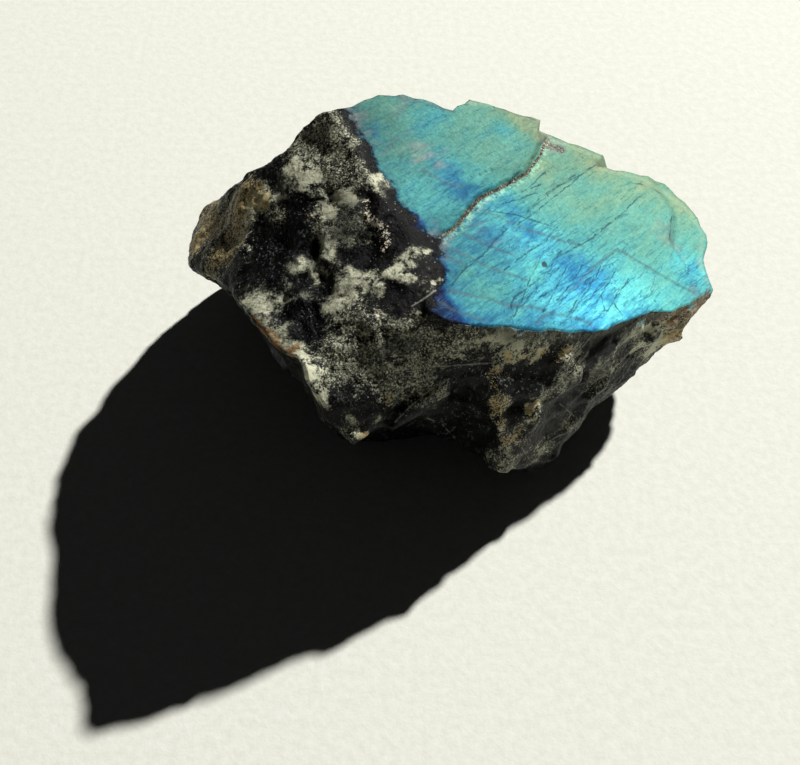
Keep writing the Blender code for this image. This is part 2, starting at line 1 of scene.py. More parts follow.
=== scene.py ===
"""Looks for a rough chunk of labradorite: its bright cleavage face, its dark speckled rock, paper and light.

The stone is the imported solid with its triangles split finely, so that chips, grains, flakes and cracks are
real relief. Colours are procedural. Broad zones, such as a pale patch or a blue streak, are soft spots kept
as mesh attributes, and everything finer is noise, cells and thin lines in the material.

Lengths are millimetres in the stone's own frame, +X towards the tip, +Y to the back, +Z up. A name that ends
in _PX holds places in the photograph, in its pixels, carried along the line of sight onto the stone.
"""

import math

import bmesh
import bpy
import numpy as np
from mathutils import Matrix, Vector, noise
from mathutils.bvhtree import BVHTree


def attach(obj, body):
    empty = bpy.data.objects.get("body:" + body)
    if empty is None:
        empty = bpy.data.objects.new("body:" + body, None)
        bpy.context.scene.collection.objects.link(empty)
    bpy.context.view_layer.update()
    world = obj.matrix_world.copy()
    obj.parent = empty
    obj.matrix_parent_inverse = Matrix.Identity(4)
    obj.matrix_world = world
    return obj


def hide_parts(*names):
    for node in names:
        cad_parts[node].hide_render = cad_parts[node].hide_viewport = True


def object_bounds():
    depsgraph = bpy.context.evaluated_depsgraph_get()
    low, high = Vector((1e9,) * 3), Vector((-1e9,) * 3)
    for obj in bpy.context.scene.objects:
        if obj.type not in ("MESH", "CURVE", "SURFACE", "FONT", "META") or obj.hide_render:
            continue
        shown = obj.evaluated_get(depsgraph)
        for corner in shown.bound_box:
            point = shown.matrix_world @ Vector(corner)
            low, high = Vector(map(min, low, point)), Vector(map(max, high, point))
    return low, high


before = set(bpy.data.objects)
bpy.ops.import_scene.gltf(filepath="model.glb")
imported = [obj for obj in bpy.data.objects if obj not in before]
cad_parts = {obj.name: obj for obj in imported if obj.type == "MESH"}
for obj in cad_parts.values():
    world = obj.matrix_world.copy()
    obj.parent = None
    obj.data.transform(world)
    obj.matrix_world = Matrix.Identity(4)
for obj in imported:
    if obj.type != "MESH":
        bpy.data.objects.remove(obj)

cad_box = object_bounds()

MM = 0.001
NODE = "labradorite_chunk"

# The photograph's frame and the camera that took it. The two clip distances are metres.
PHOTO_SIZE = (800, 765)
FOCAL_PX = 1050.0
SENSOR_MM = 36.0
CAMERA_ELEVATION = math.radians(57.0)
CAMERA_DISTANCE = 152.0
CAMERA_AIM = Vector((-8.288, -9.539, 16.5))
CLIP_START, CLIP_END = 0.01, 20.0

# The line of sight at the picture's middle, and how much of it thin surface lines ignore.
SIGHT = Vector((0.0, math.cos(CAMERA_ELEVATION), -math.sin(CAMERA_ELEVATION)))
SQUASH = 0.85
# How much of the bright face's colour is a metal-like flash instead of a matte tint.
FLASH_METAL = 0.30
# The light on the face against a white screen, its white gloss, and how much a flash outshines a matte tint.
FLASH_LIGHT, FLASH_GLOSS, FLASH_GAIN = 1.3, 0.02, 1.55

# The cleavage face: its height over the stone's middle and how it falls towards the tip.
FACE_HEIGHT = 39.90
FACE_FALL = 0.48

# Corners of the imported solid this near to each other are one, and edges shorter than this go.
JOIN_GAP, SHORTEST_EDGE = 0.001, 0.002

# The longest edge that each kind of surface keeps when its triangles are split, and the slack before a split.
EDGE_FACE, EDGE_ROCK, EDGE_BACK, EDGE_BASE = 0.42, 0.40, 0.62, 2.4
EDGE_SLACK = 1.35
SPLIT_ROUNDS = 5
# Which surface is which: the base by its height, the back and the face by their place and slope.
BASE_TOP, BASE_LEVEL = 0.01, 0.001
BACK_FROM_Y, BACK_RISE = 8.0, 0.2
FACE_FROM_Z, FACE_RISE = 15.0, 1.06

# The flat top of the cleavage slab: how squarely it must face along the plane's normal, how far below the
# plane it may lie, and how fast it gives way to the slab's walls.
LID_FACING, LID_TURN = 0.6, 3.0
LID_BELOW, LID_DROP = 2.2, 1.5

# Relief: size and depth of each kind of broken form.
CHIPS = ((2.3, 0.15), (1.0, 0.09))
GRAIN_SIZE, GRAIN_DEPTH = 0.6, 0.07
FLAT_BORDER = 0.5
WALL_START, WALL_TURN = 0.3, 2.0
TERRACE_SIZE, TERRACE_DEPTH, TERRACES = 5.0, 0.07, 4
TERRACE_DRAW, TERRACE_FINE, TERRACE_FINE_SHARE, TERRACE_RISER = 2.6, 0.35, 0.6, 0.16
CRACK_WIDTH, CRACK_DEPTH = 0.30, 0.06
RUBBLE_WIDTH, RUBBLE_DEPTH = 0.6, 0.28
CRUMB_SIZE, CRUMB_FINE_SIZE, CRUMB_FINE_SHARE = 0.5, 0.22, 0.5
# The knob at the left end is rougher, and smoky glassy patches are calmer.
KNOB_FROM_X, KNOB_BLEND, KNOB_MORE = -24.0, 6.0, 0.25
CALM_TURN, CALM_SHARE = 2.0, 0.7
# Packed edges are rounded this often and this far, except on the bright face and near the base.
SOFTEN_ROUNDS, SOFTEN_SHARE, SOFTEN_FROM_Z = 4, 0.5, 0.5
# Where each noise field starts, so that no two are alike, and what sets the chips' tilts.
WARP_SHIFTS = (11.0, 37.0, 71.0)
TERRACE_SHIFT, TERRACE_FINE_SHIFT, GRAIN_SHIFT, CRUMB_SHIFT, CRUMB_FINE_SHIFT = 3.7, 8.1, 4.0, 21.0, 5.0
CHIP_SEED = 7.3
WARP_SIZE, WARP_REACH = 1.9, 1.5
SHARP_ANGLE = math.radians(50.0)

# Broad fields of the face: how far its border reaches, and the hue and glow of its painted sheen at the middle
# and per millimetre.
FACE_REACH = 6.0
HUE_MIDDLE, HUE_TO_BACK = 0.46, 0.0125
GLOW_MIDDLE, GLOW_TO_TIP = 0.47, 0.009

# Striations on the cleavage face run this way, from the front left to the back right.
STRIA_ANGLE = math.radians(50.0)

# Where the bright face gives way to dark rock, from its back left corner to its front edge.
FACE_EDGE_PX = [
    (330, 96), (343, 108), (352, 122), (371, 148), (377, 166), (392, 188), (402, 207), (411, 213),
    (415, 228), (426, 232), (438, 238), (437, 260), (447, 277), (434, 296), (431, 310), (447, 322),
    (470, 328), (500, 334), (560, 345), (760, 345), (760, 60), (330, 60),
]
VEIN_PX = [(440, 236), (455, 225), (467, 210), (480, 195), (510, 180), (527, 170), (541, 152), (545, 140)]

# Dark hair cracks, then wider smoky veins, on the cleavage face.
CRACKS_PX = [
    [(544, 250), (530, 280), (514, 316)],
    [(562, 250), (548, 272), (534, 296)],
    [(584, 264), (572, 284), (558, 300)],
    [(602, 266), (590, 288), (576, 308)],
    [(617, 270), (606, 288), (596, 304)],
    [(576, 174), (553, 190), (528, 211)],
    [(546, 171), (532, 184), (518, 196)],
    [(472, 206), (514, 214), (558, 227)],
    [(497, 197), (508, 183), (520, 171)],
    [(570, 262), (558, 286), (544, 312)],
    [(630, 278), (618, 296), (608, 312)],
    [(600, 162), (584, 172), (574, 182), (550, 200), (534, 213), (518, 224)],
    [(578, 176), (556, 187), (542, 196), (532, 206), (530, 214)],
    [(542, 184), (524, 190), (502, 196)],
    [(538, 192), (518, 199), (500, 204)],
    [(548, 239), (534, 248), (504, 270)],
    [(586, 274), (558, 286), (536, 300)],
    [(592, 277), (570, 293), (552, 312)],
    [(598, 278), (582, 292), (570, 314)],
    [(606, 282), (590, 298), (572, 313)],
    [(560, 268), (542, 282), (526, 300), (523, 307)],
    [(540, 278), (514, 298), (511, 308)],
    [(602, 294), (606, 310)],
    [(616, 304), (623, 315)],
    [(508, 228), (496, 240), (480, 258), (466, 268)],
    [(470, 264), (454, 282), (448, 291)],
    [(640, 196), (622, 214), (590, 240), (558, 256)],
    [(666, 188), (676, 200), (674, 213), (671, 231), (671, 244), (683, 256)],
    [(630, 181), (650, 186), (668, 196)],
    [(493, 106), (516, 112), (538, 121)],
]
VEINS_PX = [
    [(469, 204), (496, 215), (526, 228), (550, 236), (584, 246)],
    [(464, 233), (488, 245), (514, 254)],
    [(442, 246), (468, 256), (486, 266), (504, 272), (528, 280)],
    [(441, 256), (464, 263)],
    [(448, 290), (470, 295), (490, 299), (510, 306), (534, 307), (554, 313)],
    [(440, 302), (456, 311), (484, 321)],
    [(538, 321), (550, 313), (570, 316), (592, 323)],
    [(620, 250), (646, 265), (670, 279), (694, 292)],
    [(616, 250), (596, 266), (582, 280), (570, 291)],
    [(416, 99), (402, 110), (388, 118)],
    [(398, 137), (383, 153)],
    [(423, 170), (443, 182), (462, 187)],
    [(392, 95), (413, 100), (437, 107), (454, 111)],
    [(465, 227), (487, 220)],
]
# Pale scratches, a stray fibre and thin wisps of light mineral on the dark rock.
WISPS_PX = [
    [(429, 367), (450, 366), (475, 364), (496, 363)],
    [(395, 370), (412, 369), (429, 367)],
    [(399, 377), (416, 376), (432, 374)],
    [(449, 379), (430, 390), (412, 405), (395, 422)],
    [(386, 398), (410, 385), (436, 377)],
    [(441, 380), (437, 398)],
    [(448, 381), (444, 397)],
    [(400, 398), (392, 408)],
    [(412, 306), (425, 298), (439, 288)],
    [(427, 418), (434, 421)],
    [(443, 425), (448, 431), (455, 438)],
    [(455, 427), (446, 434)],
    [(592, 336), (580, 350), (566, 370), (552, 392)],
    [(588, 352), (574, 372), (562, 390)],
    [(584, 342), (566, 362), (554, 380)],
    [(591, 413), (604, 400), (618, 390)],
    [(544, 444), (556, 437), (570, 431)],
    [(560, 404), (572, 414), (580, 422)],
    [(500, 446), (512, 458)],
    [(522, 448), (530, 460)],
]
# One small dark spot on the face, and how soft its rim is.
SPOT_PX = (545, 264)
SPOT_SIZE, SPOT_RIM = 0.42, (0.25, 0.05)

# Soft spots of colour on the cleavage face: place, radius, and how far each shifts the hue, towards blue
# below nought and towards yellow-green above it.
HUE_SPOTS_PX = [
    ((430, 112), 3.4, -0.22), ((418, 128), 2.4, -0.14), ((450, 170), 3.0, -0.24), ((462, 190), 2.4, -0.20),
    ((505, 132), 1.8, -0.20), ((376, 124), 3.0, -0.06), ((405, 175), 2.5, -0.02),
    ((480, 150), 4.4, 0.02), ((505, 160), 3.0, 0.04), ((525, 118), 3.0, 0.26), ((538, 128), 2.0, 0.30),
    ((505, 200), 3.0, -0.22), ((520, 222), 3.0, -0.16), ((540, 240), 3.4, -0.04), ((488, 232), 3.2, -0.16),
    ((555, 190), 4.2, 0.12), ((545, 165), 2.6, 0.16), ((590, 158), 4.0, 0.30), ((620, 190), 4.0, 0.08),
    ((645, 180), 3.4, 0.16), ((682, 200), 3.2, 0.22), ((600, 215), 4.4, 0.12), ((650, 240), 4.0, 0.14),
    ((565, 262), 3.2, -0.16), ((590, 282), 3.4, -0.14), ((612, 270), 2.6, -0.06), ((650, 292), 3.8, 0.10),
    ((690, 262), 3.6, -0.20), ((480, 285), 3.0, 0.14), ((470, 305), 2.4, 0.08), ((510, 300), 3.4, 0.06),
    ((432, 309), 2.8, -0.90), ((446, 318), 1.8, -0.30), ((440, 266), 1.4, -0.40), ((414, 222), 1.3, -0.55),
    ((376, 130), 1.4, -0.26), ((474, 256), 2.6, -0.06),
]
# Where the face's painted sheen is brighter or dimmer than its middle tone.
GLOW_SPOTS_PX = [
    ((600, 308), 6.0, 0.58), ((552, 303), 5.0, 0.30), ((645, 290), 5.0, 0.40), ((530, 262), 4.0, 0.12),
    ((540, 238), 3.0, 0.28), ((590, 272), 4.0, 0.10), ((500, 225), 3.4, 0.10), ((420, 190), 4.0, 0.08),
    ((385, 150), 6.0, -0.08), ((360, 118), 3.6, -0.10), ((440, 250), 3.0, -0.06), ((434, 308), 2.6, -0.24),
    ((470, 312), 3.4, 0.06), ((455, 280), 3.6, -0.05), ((442, 226), 2.2, -0.10), ((345, 112), 2.4, -0.12),
    ((470, 110), 2.4, 0.06), ((505, 200), 3.0, 0.06), ((690, 262), 4.4, 0.22), ((560, 200), 5.0, 0.10),
    ((630, 205), 5.0, 0.08), ((680, 215), 4.0, 0.02),
]
# Grey, brown or lilac veils over the face.
VEIL_SPOTS_PX = [
    ((352, 116), 3.0, 0.8), ((372, 140), 2.4, 0.4), ((418, 148), 3.4, 0.5), ((438, 160), 3.0, 0.4),
    ((410, 100), 2.0, 0.5), ((402, 110), 2.0, 0.5), ((440, 236), 2.4, 0.9), ((442, 250), 1.8, 0.6),
    ((482, 222), 3.2, 0.4), ((549, 141), 1.8, 1.2), ((556, 148), 1.2, 1.0), ((660, 222), 2.6, 0.5),
    ((668, 236), 2.2, 0.7), ((700, 294), 1.8, 1.0), ((684, 252), 2.6, 0.3), ((540, 124), 1.2, 0.7),
]
# The thin pale margin of the face along its back and its tip.
FRINGE_PX = [
    (470, 103), (500, 106), (538, 118), (543, 134), (575, 146), (603, 156), (600, 166), (640, 176),
    (668, 188), (690, 206), (704, 226), (703, 262), (712, 288),
]

# Soft spots on the dark rock: place and radius.
PALE_SPOTS_PX = [
    ((294, 174), 2.1), ((303, 182), 1.8), ((308, 184), 1.1), ((377, 182), 1.3), ((386, 190), 1.2),
    ((322, 246), 1.9), ((308, 262), 2.1), ((315, 276), 2.0), ((300, 264), 1.6), ((334, 238), 1.3),
    ((334, 256), 1.4), ((345, 281), 2.4), ((358, 276), 1.8), ((338, 296), 2.0), ((330, 308), 1.6),
    ((322, 318), 1.4), ((350, 292), 1.5), ((300, 294), 1.8), ((286, 294), 1.5), ((414, 256), 1.1),
    ((428, 252), 0.7), ((398, 268), 1.3), ((404, 278), 1.3), ((414, 278), 0.8), ((434, 280), 0.8),
    ((428, 288), 0.9), ((250, 300), 1.9), ((264, 306), 1.8), ((278, 308), 1.1), ((262, 318), 1.2),
    ((275, 332), 2.0), ((288, 342), 1.8), ((298, 354), 1.2), ((284, 326), 1.3), ((310, 372), 1.3),
    ((314, 392), 1.5), ((322, 402), 1.1), ((378, 288), 1.0), ((366, 290), 0.8), ((280, 196), 1.0),
    ((330, 206), 1.2), ((344, 196), 1.1), ((356, 200), 0.9), ((352, 242), 0.9), ((364, 240), 0.8),
    ((490, 335), 0.9), ((505, 333), 1.0), ((520, 340), 0.9), ((512, 346), 0.7), ((636, 330), 1.2),
    ((648, 328), 1.2), ((660, 336), 1.2), ((654, 348), 1.2), ((638, 348), 1.3), ((628, 338), 1.0),
    ((196, 240), 1.5), ((530, 398), 0.4), ((536, 414), 0.4),
    # The first three spots here, on the front left lump, are painted glints.
    ((350, 419), 0.9), ((362, 436), 0.9), ((374, 418), 0.8), ((600, 360), 0.9), ((612, 372), 0.8),
]
GREY_SPOTS_PX = [
    ((330, 130), 4.0), ((350, 150), 3.4), ((330, 165), 4.0), ((345, 120), 2.4), ((305, 150), 3.4),
    ((362, 165), 3.0), ((330, 222), 3.0), ((345, 205), 2.6), ((350, 225), 2.6), ((262, 210), 3.0),
    ((275, 222), 2.6), ((254, 232), 2.6), ((345, 350), 4.8), ((370, 362), 4.8), ((335, 380), 4.4),
    ((380, 382), 4.4), ((410, 352), 3.6), ((355, 325), 3.2), ((430, 345), 3.2), ((400, 328), 3.0),
    ((345, 396), 3.0), ((384, 312), 2.4), ((385, 268), 2.0), ((470, 340), 3.0), ((530, 338), 2.6),
    ((560, 338), 2.2), ((500, 345), 3.0), ((640, 338), 4.0), ((655, 345), 3.4), ((622, 345), 3.0),
    ((600, 372), 3.4), ((575, 362), 3.0), ((560, 384), 2.6), ((545, 396), 2.6), ((530, 350), 2.4),
    ((440, 392), 1.6), ((418, 385), 3.0), ((532, 420), 2.6), ((500, 465), 2.4), ((512, 466), 2.4),
    ((540, 450), 2.6), ((590, 400), 2.6), ((572, 418), 2.6), ((350, 428), 2.0),
]
TAN_SPOTS_PX = [
    ((196, 242), 3.0), ((215, 258), 3.0), ((212, 225), 4.4), ((235, 215), 4.0), ((230, 245), 3.6),
    ((205, 212), 3.4), ((250, 192), 2.6), ((262, 202), 1.8), ((238, 200), 3.0), ((700, 300), 2.6),
    ((690, 312), 2.6), ((682, 330), 2.6), ((707, 292), 2.0), ((672, 318), 2.2), ((674, 338), 1.8),
    ((498, 372), 1.4), ((496, 385), 1.5), ((498, 405), 1.5), ((500, 425), 1.6), ((514, 438), 1.5),
    ((530, 404), 0.8), ((538, 420), 0.9), ((508, 356), 1.1), ((524, 357), 1.0), ((540, 354), 1.0),
    ((566, 350), 1.2), ((385, 400), 1.2), ((506, 440), 1.4), ((364, 438), 1.2),
]
# Warm brown, half clear mineral at the tip, and gold grains on the front, partly warm mineral and partly
# painted sunlit sparkle.
AMBER_SPOTS_PX = [
    ((704, 300), 1.6), ((696, 308), 1.7), ((684, 314), 1.6), ((672, 320), 1.4), ((686, 328), 1.2),
    ((676, 338), 1.2), ((664, 316), 1.0), ((650, 318), 0.8),
]
GOLD_AND_SPARKLE_SPOTS_PX = [
    ((498, 372), 1.5), ((494, 386), 1.5), ((497, 402), 1.4), ((499, 418), 1.5), ((502, 434), 1.6),
    ((514, 436), 1.7), ((524, 440), 1.4), ((508, 360), 1.4), ((522, 357), 1.4), ((538, 353), 1.4),
    ((555, 356), 1.4), ((566, 352), 1.5), ((574, 348), 1.3), ((530, 402), 0.7), ((538, 418), 0.7),
    ((384, 400), 0.9), ((362, 438), 0.9), ((310, 218), 0.8),
]
RUST_SPOTS_PX = [
    ((268, 338), 1.5), ((277, 346), 1.6), ((288, 353), 1.4), ((261, 328), 1.2), ((252, 318), 0.9),
    ((243, 308), 0.9),
]
# Painted glints: spots where bright highlights are painted into the rock's colour.
PAINTED_GLINT_SPOTS_PX = [
    ((370, 211), 1.2), ((375, 219), 1.4), ((379, 227), 1.5), ((383, 236), 1.2), ((366, 204), 0.9),
    ((386, 245), 0.9), ((378, 288), 0.8), ((312, 218), 0.6), ((374, 318), 0.7), ((367, 315), 0.6),
]
# Black spots: dark mineral on the top, and painted shade on the front facets turned from the light and under
# the front lips.
BLACK_AND_SHADE_SPOTS_PX = [
    ((369, 148), 2.0), ((362, 130), 1.8), ((378, 166), 1.5), ((352, 118), 1.8),
    ((281, 247), 3.0), ((262, 232), 2.0), ((300, 240), 2.2), ((310, 251), 1.1), ((365, 250), 2.4),
    ((395, 235), 2.6), ((388, 205), 2.4), ((300, 285), 1.6), ((312, 330), 2.4), ((300, 312), 2.0),
    ((328, 286), 1.2), ((395, 300), 2.4), ((350, 258), 1.4), ((470, 384), 3.6), ((465, 404), 4.0),
    ((468, 428), 3.0), ((345, 410), 2.4), ((340, 404), 2.2), ((365, 406), 2.2), ((388, 410), 1.6),
    ((600, 338), 2.0), ((592, 352), 1.6), ((580, 404), 2.2), ((546, 408), 1.6), ((415, 432), 3.0),
    ((295, 374), 2.2), ((560, 344), 1.0), ((516, 372), 1.7), ((541, 370), 2.0), ((540, 388), 1.2),
    ((514, 404), 1.5), ((516, 420), 1.4), ((649, 337), 0.9), ((612, 334), 1.2), ((324, 250), 0.7),
    ((296, 210), 1.8), ((330, 236), 1.0), ((380, 262), 1.6),
]
SMOKE_SPOTS_PX = [
    ((606, 350), 2.6), ((588, 374), 2.6), ((572, 398), 2.6), ((556, 426), 2.2), ((622, 340), 2.0),
    ((345, 222), 3.2), ((352, 208), 2.4), ((340, 236), 2.2), ((400, 345), 2.6), ((388, 352), 2.0),
    ((600, 372), 3.0), ((578, 400), 3.0), ((625, 346), 2.4),
]


def smooth_step(t):
    t = np.clip(t, 0.0, 1.0)
    return t * t * (3.0 - 2.0 * t)


# The camera and lines of sight


def make_camera():
    data = bpy.data.cameras.new("camera")
    data.sensor_width = SENSOR_MM
    data.lens = FOCAL_PX / PHOTO_SIZE[0] * SENSOR_MM
    data.clip_start = CLIP_START
    data.clip_end = CLIP_END
    camera = bpy.data.objects.new("camera", data)
    camera.location = (CAMERA_AIM - SIGHT * CAMERA_DISTANCE) * MM
    camera.rotation_euler = (math.pi / 2.0 - CAMERA_ELEVATION, 0.0, 0.0)
    bpy.context.scene.collection.objects.link(camera)
    bpy.context.scene.camera = camera
    return camera.location / MM


def line_of_sight(place):
    """The direction in which a pixel of the photograph is seen."""
    up = Vector((0.0, math.sin(CAMERA_ELEVATION), math.cos(CAMERA_ELEVATION)))
    right = Vector((1.0, 0.0, 0.0))
    across = (place[0] - PHOTO_SIZE[0] / 2.0) / FOCAL_PX
    down = (place[1] - PHOTO_SIZE[1] / 2.0) / FOCAL_PX
    return (SIGHT + right * across - up * down).normalized()


def on_face(place):
    """The point of the cleavage plane that a pixel shows."""
    way = line_of_sight(place)
    t = (FACE_HEIGHT - FACE_FALL * EYE.x - EYE.z) / (way.z + FACE_FALL * way.x)
    return EYE + way * t


def on_stone(place):
    """The point of the stone that a pixel shows."""
    hit = STONE_TREE.ray_cast(EYE, line_of_sight(place))[0]
    return hit if hit is not None else on_face(place)


# The stone's mesh


def drop_flaps(bm):
    """Take out pairs of triangles that lie back to back on the same corners, and so close off nothing."""
    on_corners = {}
    for face in bm.faces:
        on_corners.setdefault(frozenset(vert.index for vert in face.verts), []).append(face)
    flaps = []
    for faces in on_corners.values():
        flaps += faces[: len(faces) // 2 * 2]
    bmesh.ops.delete(bm, geom=flaps, context="FACES")


def stone_in_mm():
    """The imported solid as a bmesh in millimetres, joined where the import split it."""
    bm = bmesh.new()
    bm.from_mesh(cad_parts[NODE].data)
    bmesh.ops.scale(bm, vec=(1.0 / MM,) * 3, verts=bm.verts[:])
    bmesh.ops.remove_doubles(bm, verts=bm.verts[:], dist=JOIN_GAP)
    bmesh.ops.dissolve_degenerate(bm, dist=SHORTEST_EDGE, edges=bm.edges[:])
    bmesh.ops.triangulate(bm, faces=bm.faces[:])
    bm.verts.index_update()
    drop_flaps(bm)
    bm.normal_update()
    return bm


def facing_of(normals):
    """How squarely each normal faces along the cleavage plane's own normal."""
    plane = np.array((FACE_FALL, 0.0, 1.0)) / math.hypot(FACE_FALL, 1.0)
    return normals @ plane


def longest_edge(middle, normal):
    if middle.z < BASE_TOP:
        return EDGE_BASE
    if normal.z < BACK_RISE and middle.y > BACK_FROM_Y:
        return EDGE_BACK
    if normal.x * FACE_FALL + normal.z > FACE_RISE and middle.z > FACE_FROM_Z:
        return EDGE_FACE
    return EDGE_ROCK


def split_finely(bm):
    """Halve edges until each is about as short as its surface asks."""
    for _ in range(SPLIT_ROUNDS):
        long = []
        for edge in bm.edges:
            a, b = edge.verts
            normal = edge.link_faces[0].normal + edge.link_faces[-1].normal
            if edge.calc_length() > EDGE_SLACK * longest_edge((a.co + b.co) / 2.0, normal.normalized()):
                long.append(edge)
        if not long:
            return
        bmesh.ops.subdivide_edges(bm, edges=long, cuts=1)
        bmesh.ops.triangulate(bm, faces=[f for f in bm.faces if len(f.verts) > 3])
        bm.normal_update()


def noise_at(points, size, shift=0.0):
    return np.array([noise.noise(Vector(p) / size + Vector((shift, 0.0, 0.0))) for p in points])


def chips_at(points, size):
    """Flat-faced chips, from about -1 to 1: each cell of a random division of space tilts its own way."""
    found = np.zeros(len(points))
    for k, p in enumerate(points):
        place = Vector(p) / size
        centre = noise.voronoi(place)[1][0]
        tilt = noise.cell_vector(centre * CHIP_SEED) * 2.0 - Vector((1.0, 1.0, 1.0))
        found[k] = (place - centre).dot(tilt)
    return np.clip(found, -1.0, 1.0)


def gap_to_line(points, line):
    """Distance of points, seen from above, from a line of (x, y) corners, and their side of it."""
    best = np.full(len(points), 1e9)
    side = np.ones(len(points))
    flat = points[:, :2]
    for a, b in zip(line, line[1:]):
        a, run = np.array(a[:2]), np.array(b[:2]) - np.array(a[:2])
        t = np.clip((flat - a) @ run / (run @ run), 0.0, 1.0)
        away = flat - (a + t[:, None] * run)
        gap = np.hypot(away[:, 0], away[:, 1])
        nearer = gap < best
        best = np.where(nearer, gap, best)
        turn = run[0] * (flat[:, 1] - a[1]) - run[1] * (flat[:, 0] - a[0])
        side = np.where(nearer, np.where(turn > 0.0, -1.0, 1.0), side)
    return best, side


def inside_outline(points, outline):
    """Whether points, seen from above, lie inside a closed outline."""
    odd = np.zeros(len(points), dtype=bool)
    x, y = points[:, 0], points[:, 1]
    for a, b in zip(outline, outline[1:] + outline[:1]):
        crosses = (a[1] > y) != (b[1] > y)
        rise = b[1] - a[1] if b[1] != a[1] else 1e-9
        odd ^= crosses & (x < a[0] + (y - a[1]) * (b[0] - a[0]) / rise)
    return odd


def face_gap(points):
    """How far, seen from above, a point lies inside the bright face's border with the dark rock."""
    outline = [tuple(on_face(p)[:2]) for p in FACE_EDGE_PX]
    gap, _ = gap_to_line(points, outline + outline[:1])
    return np.where(inside_outline(points, outline), gap, -gap)


def above_face(points):
    """How far points lie above the cleavage plane, straight up."""
    return points[:, 2] - (FACE_HEIGHT - FACE_FALL * points[:, 0])


def face_lid(points, facing):
    """Positive on the flat top of the cleavage slab, and negative on its broken walls."""
    return np.minimum((facing - LID_FACING) * LID_TURN, (above_face(points) + LID_BELOW) * LID_DROP)


def wandering(points):
    """The points pushed about by smooth noise, so that a spot measured from them has a torn outline."""
    push = np.stack([noise_at(points, WARP_SIZE, shift) for shift in WARP_SHIFTS], axis=1)
    return points + WARP_REACH * push


def soft_spots(points, spots, place):
    """The strongest of some soft spots at each point: one at a spot's middle, nought at its radius."""
    best = np.full(len(points), -1.0)
    for where, radius in spots:
        gap = np.linalg.norm(points - np.array(place(where)), axis=1)
        best = np.maximum(best, 1.0 - gap / radius)
    return best


def summed_spots(points, spots):
    """Bell-shaped spots on the cleavage face, added up."""
    total = np.zeros(len(points))
    for where, radius, weight in spots:
        x, y, _ = on_face(where)
        gap = np.hypot(points[:, 0] - x, points[:, 1] - y)
        total += weight * np.exp(-((gap / radius) ** 2))
    return total


def terraces(points):
    """Thin flakes of the cleavage, as low flat steps drawn out along the striations."""
    c, s = math.cos(STRIA_ANGLE), math.sin(STRIA_ANGLE)
    along = points[:, 0] * c + points[:, 1] * s
    aside = -points[:, 0] * s + points[:, 1] * c
    drawn = np.stack([along / TERRACE_DRAW, aside, np.zeros(len(points))], axis=1)
    fine = noise_at(drawn, TERRACE_SIZE * TERRACE_FINE, TERRACE_FINE_SHIFT)
    level = (noise_at(drawn, TERRACE_SIZE, TERRACE_SHIFT) + TERRACE_FINE_SHARE * fine) * TERRACES
    whole = np.floor(level)
    return (whole + smooth_step((level - whole) / TERRACE_RISER)) / TERRACES


def relief(points, face, lid):
    """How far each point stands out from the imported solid, along its normal."""
    rock = np.maximum(smooth_step(0.5 - face / FLAT_BORDER), smooth_step(WALL_START - lid * WALL_TURN))
    rough = np.zeros(len(points))
    for size, depth in CHIPS:
        rough += depth * chips_at(points, size)
    grain = noise_at(points, GRAIN_SIZE)
    rough += GRAIN_DEPTH * (grain + 0.5 * noise_at(points, 0.5 * GRAIN_SIZE, GRAIN_SHIFT))
    knob = smooth_step((KNOB_FROM_X - points[:, 0]) / KNOB_BLEND)
    calm = smooth_step(soft_spots(points, SMOKE_SPOTS_PX, on_stone) * CALM_TURN)
    out = rock * rough * (1.0 + KNOB_MORE * knob) * (1.0 - CALM_SHARE * calm)
    on_face_share = 1.0 - rock
    out += on_face_share * TERRACE_DEPTH * terraces(points)
    for line in CRACKS_PX + VEINS_PX:
        gap, _ = gap_to_line(points, [on_face(p) for p in line])
        out -= on_face_share * CRACK_DEPTH * np.exp(-((gap / CRACK_WIDTH) ** 2))
    vein, _ = gap_to_line(points, [on_face(p) for p in VEIN_PX])
    rubble = np.exp(-((vein / RUBBLE_WIDTH) ** 2)) * on_face_share
    crumbs = noise_at(points, CRUMB_SIZE, CRUMB_SHIFT)
    crumbs += CRUMB_FINE_SHARE * noise_at(points, CRUMB_FINE_SIZE, CRUMB_FINE_SHIFT)
    return out + rubble * RUBBLE_DEPTH * crumbs


def softened(points, edges, share):
    """The points drawn towards the middle of their neighbours, so that facets become rounded breaks."""
    count = np.bincount(edges.ravel(), minlength=len(points))[:, None]
    for _ in range(SOFTEN_ROUNDS):
        total = np.zeros_like(points)
        np.add.at(total, edges[:, 0], points[edges[:, 1]])
        np.add.at(total, edges[:, 1], points[edges[:, 0]])
        points = points + (total / count - points) * share[:, None]
    return points


def keep_field(mesh, name, values):
    mesh.attributes.new(name, "FLOAT", "POINT").data.foreach_set("value", values.astype(np.float32))


